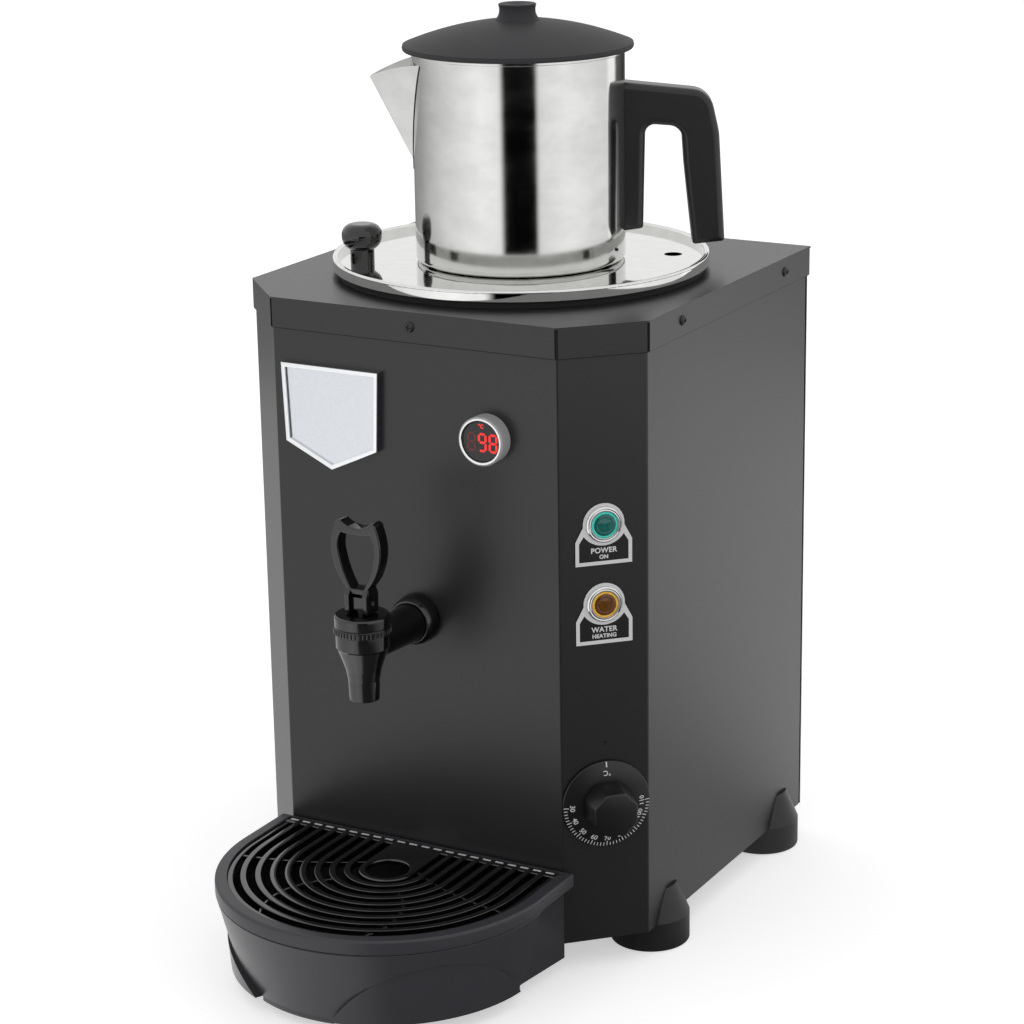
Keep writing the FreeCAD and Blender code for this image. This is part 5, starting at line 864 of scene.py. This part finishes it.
def makeTray():
    s = SimpleNamespace(**tray)
    back = s.backY - s.middleY
    columns = trayColumns()

    def leaning(column, z, inset=0.0):
        radius = s.footRadius + (s.topRadius - s.footRadius) * (z - s.footZ) / (s.wallTop - s.footZ)
        return trayPoint(column, radius - inset, s.sideHalf - inset, back - (s.rimBack if inset else 0))

    def outer(column):
        # points up the wall's outside; the step at the arch's edge has two at one height
        foot, low, high = s.footZ, s.lowRows, s.highRows
        edge = archHeight(leaning(column, foot)) if column[0] != "back" else None
        turning = edge or foot
        points = []
        for k in range(low + 1):
            z = foot + (turning - foot) * k / low
            spot = leaning(column, z)
            if edge is not None:
                rise = (z - foot) / (s.archTopZ - foot)
                spot = spot.normalized() * (s.archFoot + (s.archTop - s.archFoot) * rise)
            points.append((*spot, z))
        heights = [turning + (s.wallTop - turning) * k / high for k in range(high + 1)]
        return points + [(*leaning(column, z), z) for z in heights]

    rings = [list(row) for row in zip(*map(outer, columns))]

    def level(half, z, rear=0.0):
        rings.append([(*trayPoint(column, half, half, back - rear), z) for column in columns])

    band, mouth, top = s.bandHalf, s.mouthHalf, s.top
    level(s.grooveHalf, s.wallTop + s.topRadius - s.grooveHalf)
    level(s.grooveHalf, s.bandFoot)
    level(band - s.bandEdge, s.bandFoot)
    level(band, s.bandFoot + s.bandEdge)
    for k in range(s.rimSteps + 1):
        turn = math.radians(90 * k / s.rimSteps)
        inset = s.rimRound * (1 - math.cos(turn))
        level(band - inset, top - s.rimRound * (1 - math.sin(turn)), inset)
    level(mouth + s.mouthEdge, top, s.rimBack)
    level(mouth, top - s.mouthEdge, s.rimBack)
    level(mouth, s.grilleFoot, s.rimBack)
    for z in (s.grilleFoot, s.ledgeFoot):
        level(mouth - s.ledge, z, s.rimBack + s.ledge)
    for z in (s.ledgeFoot, s.footZ + s.floor):
        rings.append([(*leaning(column, min(z, s.wallTop), s.wall), z) for column in columns])
    shape = stackedShape(rings)
    bmesh.ops.remove_doubles(shape, verts=shape.verts, dist=10 * weld)
    for near, far in s.legs:
        turns = [math.radians(near + (far - near) * k / s.legSteps) for k in range(s.legSteps + 1)]
        inner, outside = s.legRadii
        loop = [polar(outside, turn) for turn in turns]
        loop += [polar(inner, turn) for turn in reversed(turns)]
        addShape(shape, plateShape([loop], s.legFoot, s.footZ + s.legGrip, s.legEdge))
    addPiece("trayShell", shape, Matrix.Translation((0, s.middleY, 0)), "trayPlastic", "drip_tray",
            ("drip_tray",), s.crease)


makeTray()
print("tray ready")

# Drip tray's grille: U-shaped ribs nested round a middle ring, on curved spokes

grille = {
    "half": 99.5, "rearY": -73.25, "middleY": -114.75, "foot": 64.5, "height": 4.0,
    "lower": 0.04,  # ribs and heart below the bar's top
    "frame": 2.4, "frameEdge": 0.7,
    "bar": 6.5,  # along the back
    "barEdge": 0.8, "hole": 13.8,
    "ring": 4.5,  # width of the middle ring
    "ringEdge": 1.2, "ribs": 8, "pitch": 9.25, "slot": 4.8, "ribEdge": 0.5,
    "frontSpoke": [(22, -139.75), (42.6, -177.75), (36, -204.75)],
    "sideSpoke": [(15.5, -106.75), (58, -127.75), (96, -136.75)], "spokeWidth": 3.6,
    "spokeHeight": 1.8, "spokeEdge": 0.4,
    "tuck": 1.5,  # how far a rib runs into the bar
    "marks": 22,  # painted highlights: pale dashes along the bar
    "firstMark": -97.5, "markPitch": 9.0, "mark": (5.6, 1.7, 0.1), "markInset": 3.0,
    "edgeSteps": 4, "ringSteps": 48, "holeSides": 64,
}


def ribTree():
    s = SimpleNamespace(**grille)
    tree, given = newTree("sweptRibs", {"Rib Width": s.pitch - s.slot, "Rib Height": s.height,
            "Rounding": s.ribEdge})
    profile = addNode(tree, "GeometryNodeCurvePrimitiveQuadrilateral", {"Width": given["Rib Height"],
            "Height": given["Rib Width"]})
    soft = addNode(tree, "GeometryNodeFilletCurve", {"Curve": profile, "Count": s.edgeSteps,
            "Radius": given["Rounding"], "Limit Radius": True}, mode="POLY")
    flat = addNode(tree, "GeometryNodeSetCurveNormal", {"Curve": given["Geometry"]}, mode="Z_UP")
    swept = addNode(tree, "GeometryNodeCurveToMesh", {"Curve": flat, "Profile Curve": soft,
            "Fill Caps": True})
    return closeTree(tree, swept, "grillePlastic")


def nestedPath(radius, rear, steps=72):
    middle = grille["middleY"]
    bow = arcBetween((radius, middle), (0, middle - radius), (-radius, middle), steps)
    return [Vector((radius, rear)), Vector((radius, middle))] + bow + [Vector((-radius, rear))]


def makeGrille():
    s = SimpleNamespace(**grille)
    tree = ribTree()
    foot, height, half = s.foot, s.height, s.half
    rear = s.rearY - s.bar + s.tuck
    rib = s.pitch - s.slot
    inner = s.hole + s.ring
    shape = bmesh.new()

    def addRibs(paths, middle, width, tall, edge):
        data = bpy.data.curves.new("paths", "CURVE")
        data.dimensions = "3D"
        for points in paths:
            addSpline(data, points, middle, False)
        values = {"Rib Width": width, "Rib Height": tall, "Rounding": edge}
        addShape(shape, grownShape(tree, values, data))

    first = inner + s.slot + rib / 2
    addRibs([nestedPath(first + k * s.pitch, rear) for k in range(s.ribs)], foot + height / 2, rib,
            height - s.lower, s.ribEdge)
    addRibs([nestedPath(half - s.frame / 2, rear)], foot + height / 2, s.frame, height - s.lower / 2,
            s.frameEdge)
    bar = boxPath(-half, s.rearY - s.bar, 2 * half, s.bar)
    addShape(shape, plateShape([bar], foot, foot + height, s.barEdge))
    ring = [nestedPath(inner, rear, s.ringSteps), circlePath(s.hole, s.holeSides, (0, s.middleY))]
    addShape(shape, plateShape(ring, foot, foot + height - s.lower, s.ringEdge))
    spokes = []
    for side in (-1, 1):
        for points in (s.frontSpoke, s.sideSpoke):
            ends = [(side * x, y) for x, y in points]
            spokes.append([Vector(ends[0])] + arcBetween(*ends))
    addRibs(spokes, foot + s.spokeHeight / 2, s.spokeWidth, s.spokeHeight, s.spokeEdge)
    addPiece("grilleRibs", shape, Matrix(), "grillePlastic", "drip_grille",
            ("drip_grille",))
    # painted highlights: thin white plates along the back bar stand in for glints on the glossy ribs
    marks = bmesh.new()
    length, width, thick = s.mark
    for k in range(s.marks):
        mark = boxPath(s.firstMark + k * s.markPitch, s.rearY - s.markInset, length, width)
        addShape(marks, plateShape([mark], foot + height, foot + height + thick))
    addPiece("grilleGlintDashes", marks, Matrix(), "whitePrintAndPaintedGlint", "drip_grille")


makeGrille()
print("grille ready")

# Thermostat's knob: a dished skirt with a printed scale and an eight-sided grip

knob = {
    "height": 111.3,
    "skirt": [(0, 0.8), (28.3, 0.8, 0.3), (28.3, 2.4, 0.7), (18, 5.0), (0, 5.0)],
    "grip": ((31.0, 4.0), (27.5, 23.0)),  # across the flats and height, at the foot and the face
    "gripSides": 8, "gripEdge": 1.1, "gripSteps": 3, "gripCrease": 24, "skirtSides": 160,
    "coneRise": 14.2,  # degrees
    "coneFoot": (28.3, 2.4), "numbers": range(30, 111, 10),
    "pitch": 22.5,  # degrees from one number to the next
    "start": 180.0, "numberRadius": 22.6, "numberSize": 4.4, "tickEnd": 27.9, "longTick": 3.4,
    "shortTick": 2.3, "tickWidth": 0.45,
    "tickSteps": 5,  # from one number to the next
    "indexWidth": 0.8, "unitRadius": 21.2,
    "print": 0.12,  # how far print stands up
    "bold": 0.04, "markHeight": 150.5, "markSize": 3.8,
}


def coneHeight(radius):
    footRadius, footHeight = knob["coneFoot"]
    return footHeight + (footRadius - radius) * math.tan(math.radians(knob["coneRise"]))


def onCone(radius, angle):
    # a place on the skirt's cone; the glyph's up points at the grip
    place = spun(angle, "Z") @ Matrix.Translation((radius, 0, coneHeight(radius)))
    return place @ spun(knob["coneRise"], "Y") @ spun(90, "Z")


def tickTree(values):
    tree, given = newTree("scaleTicks", values)
    spots = addNode(tree, "GeometryNodePoints", {"Count": given["Count"]})
    index = addNode(tree, "GeometryNodeInputIndex")
    turn = addMath(tree, "MULTIPLY_ADD", index, given["Step"], given["Start"])
    fifth = addMath(tree, "MODULO", index, float(knob["tickSteps"]))
    short = addMath(tree, "GREATER_THAN", fifth, 0.5)
    length = addNode(tree, "ShaderNodeMix", {"Factor": short, "A": given["Long Tick"],
            "B": given["Short Tick"]})
    unit = addNode(tree, "GeometryNodeMeshCube", {"Size": (1, 1, 1)})
    outer = addMoved(tree, unit, (-0.5, 0, 0.5))
    spin = addVector(tree, 0.0, given["Rise"], turn)
    size = addVector(tree, length, given["Width"], given["Depth"])
    east = addVector(tree, given["End Radius"], 0.0, given["End Height"])
    place = addNode(tree, "ShaderNodeVectorRotate", {"Vector": east, "Angle": turn},
            rotation_type="Z_AXIS")
    moved = addNode(tree, "GeometryNodeSetPosition", {"Geometry": spots, "Position": place})
    aim = addNode(tree, "FunctionNodeEulerToRotation", {"Euler": spin})
    ticks = addNode(tree, "GeometryNodeInstanceOnPoints", {"Points": moved, "Instance": outer,
            "Scale": size, "Rotation": aim})
    return closeTree(tree, ticks, "whitePrintAndPaintedGlint")


def makeKnob():
    s = SimpleNamespace(**knob)
    place = onCorner(s.height)
    turns = [math.radians((k + 0.5) * 360 / s.gripSides) for k in range(s.gripSides)]
    grip = stackedShape([[polar(across / 2 / math.cos(turns[0]), turn, z) for turn in turns]
            for across, z in s.grip])
    foot = s.grip[0][1]
    edges = [edge for edge in grip.edges if max(corner.co.z for corner in edge.verts) > foot + 1]
    bmesh.ops.bevel(grip, geom=edges, offset=s.gripEdge, segments=s.gripSteps, affect="EDGES",
            profile=0.5)
    addPiece("thermostatKnob", joined(turnedShape(s.skirt, s.skirtSides), grip), place, "satinPlastic",
            "thermostat_knob", ("thermostat_knob",), s.gripCrease)
    values = {
        "Count": s.tickSteps * (len(s.numbers) - 1) + 1, "Start": math.radians(s.start),
        "Step": math.radians(s.pitch) / s.tickSteps, "End Radius": s.tickEnd,
        "End Height": coneHeight(s.tickEnd), "Rise": math.radians(s.coneRise),
        "Long Tick": s.longTick, "Short Tick": s.shortTick, "Width": s.tickWidth, "Depth": s.print,
    }
    marks = grownShape(tickTree(values), values)
    glyphs = [(str(number), onCone(s.numberRadius, s.start + s.pitch * k))
            for k, number in enumerate(s.numbers)]
    for words, spot in glyphs + [("°C", onCone(s.unitRadius, 90))]:
        addShape(marks, textShape(words, s.numberSize, s.print, spot, s.bold))
    index = plateShape([boxPath(-s.indexWidth / 2, 0, s.indexWidth, s.longTick)], 0, s.print)
    index.transform(onCone(s.tickEnd, 90))
    addShape(marks, index)
    addPiece("knobScale", marks, place, "whitePrintAndPaintedGlint", "thermostat_knob")
    half = s.markSize / 2
    mark = plateShape([[(-half, half), (half, half), (0, -half)]], 0, s.print)
    addPiece("panelMark", mark, onCorner(s.markHeight), "blackPrint", "root")


makeKnob()
print("knob ready")

# Pilot lamps: stepped chrome rings, tinted lenses and printed labels

lamps = {
    "uses": {"power": (292.4, "POWER", "ON", "green"), "heat": (241.8, "WATER", "HEATING", "amber")},
    "sheet": 0.6, "print": 0.12, "hole": 8.0, "holeSides": 64, "lensSides": 72,
    "label": [(18.0, -25.6), (18.0, -10.4)],
    "labelRing": 13.2, "labelMeet": 1.2, "field": [(15.7, -23.3), (15.7, -11.5), (12.7, -6.9)],
    "fieldCrown": -13.5,
    "lines": ((-16.6, 4.6), (-20.7, 3.5)),  # height and size of the letters
    "bold": 0.12, "spacing": 1.06,
    "bezel": [(6.5, 0.6), (11.2, 0.6), (11.2, 2.3, 0.4), (10.4, 3.2, 0.4), (9.6, 2.7, 0.3),
        (9.2, 3.2, 0.2), (8.4, 3.2, 0.2), (8.4, 1.6), (6.5, 1.6)],
    "rim": [(6.9, 1.6), (8.4, 1.6), (8.4, 2.5, 0.4), (7.6, 3.4, 0.4), (6.9, 3.2, 0.2)],
    "lens": [(0, 1.6), (6.9, 1.6), (6.9, 3.1, 0.3), (5.2, 3.6, 0.5), (4.7, 3.2, 0.3), (0, 4.0)],
}


def makeLamps():
    s = SimpleNamespace(**lamps)
    side = math.sqrt(s.labelRing ** 2 - s.labelMeet ** 2)
    outline = mirroredOutline(s.label + [(side, -s.labelMeet)], s.labelRing)
    field = mirroredOutline(s.field, s.fieldCrown)
    loops = [outline, field, circlePath(s.hole, s.holeSides)]
    spot = Matrix.Translation
    for use, (height, *words, tint) in s.uses.items():
        place, jewel, lens = onCorner(height), tint + "_jewel", tint + "Lens"
        label = plateShape(loops, s.sheet, s.sheet + s.print)
        for text, (y, size) in zip(words, s.lines):
            addShape(label, textShape(text, size, s.print, spot((0, y, s.sheet)), s.bold, s.spacing))
        for name, shape, finish, slot, replaced in (
                ("labelPrint", label, "whitePrintAndPaintedGlint", "label_plate", ()),
                ("lampRing", turnedShape(s.bezel), "brightChrome", "chrome_trim",
                    ("lamp_bezel_" + use,)),
                # painted glow: the lens's ring wears a bright finish in place of the lamp's light
                ("lensRim", turnedShape(s.rim, s.lensSides), lens + "Rim", jewel,
                    ("lamp_jewel_" + use,)),
                ("lens", turnedShape(s.lens, s.lensSides), lens, jewel, ())):
            addPiece(name + use.capitalize(), shape, place, finish, "root", replaced)


makeLamps()
print("lamps ready")

# Thermometer: a thick bezel with a bright front ring and seven-segment digits

thermometer = {
    "place": (52.7, 343.0),
    "side": [(13.2, 0), (15.25, 0), (15.25, 9.6, 0.3), (14.4, 10.0, 0.2), (13.2, 10.0)],
    "ring": [(13.0, 8.9), (13.2, 8.9), (13.2, 10.0), (14.2, 10.0), (14.6, 10.2, 0.2),
        (14.2, 10.5, 0.2), (13.3, 10.5, 0.2), (13.0, 10.2)],
    "face": 8.9, "print": 0.08, "digitWidth": 6.0, "digitHeight": 11.8, "stroke": 1.4,
    "strokeGap": 0.6, "sides": 128, "pitch": 7.4,
    "darkStroke": 4,  # lower left, so that the first lit digit is a nine
    "middle": (0.8, -0.6),  # of the second digit
    "unitUp": 9.3, "unitSize": 3.4, "unitBold": 0.1,
}


def digitShape(dark, place):
    # seven strokes, less the dark one: top, two down the right, bottom, two up the left, middle
    s = SimpleNamespace(**thermometer)
    x, y = s.middle
    wide = s.digitWidth - s.stroke
    tall = (s.digitHeight - s.stroke) / 2
    strokes = [(0, tall, wide), (wide / 2, tall / 2, tall), (wide / 2, -tall / 2, tall),
            (0, -tall, wide), (-wide / 2, -tall / 2, tall), (-wide / 2, tall / 2, tall), (0, 0, wide)]
    shape = bmesh.new()
    for k, (aside, up, length) in enumerate(strokes):
        if k != dark:
            half, thick = (length - s.strokeGap) / 2, s.stroke / 2
            loop = [(-half, 0), (-half + thick, -thick), (half - thick, -thick), (half, 0),
                    (half - thick, thick), (-half + thick, thick)]
            if aside:
                loop = [(v, u) for u, v in loop]
            loop = [(x + place * s.pitch + aside + u, y + up + v) for u, v in loop]
            addShape(shape, plateShape([loop], s.face, s.face + s.print))
    return shape


def makeThermometer():
    s = SimpleNamespace(**thermometer)
    lit = digitShape(s.darkStroke, 0)
    addShape(lit, digitShape(None, 1))
    addShape(lit, textShape("°C", s.unitSize, s.print, Matrix.Translation((0, s.unitUp, s.face)),
            s.unitBold))
    for name, shape, finish, slot, replaced in (
            # painted reflection: the chrome side is pale grey rather than mirroring what is around it
            ("thermometerSide", turnedShape(s.side, s.sides), "paintedSheenSilver", "chrome_trim",
                ("thermometer_bezel",)),
            ("thermometerRing", turnedShape(s.ring, s.sides), "brightChrome", "chrome_trim", ()),
            ("unlitDigit", digitShape(None, -1), "unlitSegment", "display_glass", ()),
            ("litDigits", lit, "litSegment", "display_glass", ())):
        addPiece(name, shape, onFront(*s.place), finish, "root", replaced)


makeThermometer()

# Badge: a bare shield with a raised, bevelled rim

badge = {
    "place": (-57.3, 376.0), "halfTop": 35.3, "halfWaist": 33.3, "waist": 50.4, "tip": 65.7,
    "rim": 3.0,
    "overlap": 0.5,  # face under the rim
    "thickness": 5.0, "face": 3.2, "edge": 0.7,
}


def shieldOutline(inset):
    s = SimpleNamespace(**badge)
    slope = math.atan2(s.tip - s.waist, s.halfWaist)
    lean = (s.halfTop - s.halfWaist) / s.waist
    foot = -s.tip + inset / math.cos(slope)
    waistX = s.halfWaist - inset
    waistY = foot + waistX * math.tan(slope)
    topX = s.halfTop - inset * (1 + lean)
    return [(0, foot), (waistX, waistY), (topX, -inset), (-topX, -inset), (-waistX, waistY)]


def makeBadge():
    s = SimpleNamespace(**badge)
    place = onFront(*s.place)
    rim = plateShape([shieldOutline(0), shieldOutline(s.rim)], 0, s.thickness, s.edge)
    field = plateShape([shieldOutline(s.rim - s.overlap)], 0, s.face)
    addPiece("badgeRim", rim, place, "badgeRimSilver", "root", ("badge_plate",))
    addPiece("badgeField", field, place, "badgeSilver", "root")


makeBadge()
print("badge and thermometer ready")

# Beads that the pressed and moulded pieces show, and dark strips of painted shadow under the cover's
# flange and beside the spout

trims = {
    "lidBead": (120.1, 426.0, 1.4),  # ring, height and radius of the bead
    "potLidBead": (71.5, 559.0, 1.8), "potAxis": (0, 69.75, 0), "potRadius": 67.4,
    "spoutWay": -151.0,  # degrees from the right side
    "spout": (486.9, 550.3),  # heights of its tip and its top
    # the values after spoutHalf place thin dark lines on the pot's wall that paint the shadow beside
    # the spout
    "spoutHalf": 27.6, "seamFoot": 481.5, "seamSteps": 32, "seamRadius": 0.5,
    "seamOut": 0.004,  # radians from the spout's edge
    # the value after flangeFoot is the height of a dark strip that paints the shadow under the cover's
    # flange
    "flangeFoot": 397.0, "flangeSeam": 0.7,
    "flangeLoop": (0.6, -0.2),  # outside the casing
    "cut": 40.0, "cutTurn": 45,  # corner cut and its angle in degrees
}


def casingLoop(offset):
    mitre = offset * math.tan(math.radians(trims["cutTurn"] / 2))
    side, front = wall.halfWidth + offset, wall.frontY - offset
    nose, shoulder = wall.halfWidth - trims["cut"] + mitre, wall.frontY + trims["cut"] - mitre
    right = [(nose, front), (side, shoulder), (side, wall.backY + offset)]
    return right + [(-x, y) for x, y in reversed(right)]


def makeTrims():
    s = SimpleNamespace(**trims)
    axis = Matrix.Translation(s.potAxis)
    addPiece("lidBead", beadShape(*s.lidBead), axis, "mirrorSteel", "tank_lid")
    addPiece("potLidBead", beadShape(*s.potLidBead), axis, "lidPlastic", "teapot_lid")
    # painted shadow: thin dark tubes just outside the spout's edges stand in for the shade in the gap
    # between spout and wall
    shadowLines = bmesh.new()
    tip, top = s.spout
    for side in (-1, 1):
        path = []
        for k in range(s.seamSteps + 1):
            z = s.seamFoot + (top - s.seamFoot) * k / s.seamSteps
            half = max(0, s.spoutHalf * (z - tip) / (top - tip))
            turn = math.radians(s.spoutWay) + side * (math.asin(half / s.potRadius) + s.seamOut)
            path.append(polar(s.potRadius, turn, z))
        addShape(shadowLines, tubeShape(path, s.seamRadius))
    addPiece("spoutShadowLine", shadowLines, axis, "rubberAndPaintedShadow", "teapot")
    # painted shadow: a dark strip just under the cover's flange stands in for the shade in the gap
    # below it
    flangeShadow = plateShape(map(casingLoop, s.flangeLoop), s.flangeFoot - s.flangeSeam, s.flangeFoot)
    addPiece("flangeSeam", flangeShadow, Matrix(), "rubberAndPaintedShadow", "root")


makeTrims()
print("beads and seams ready")
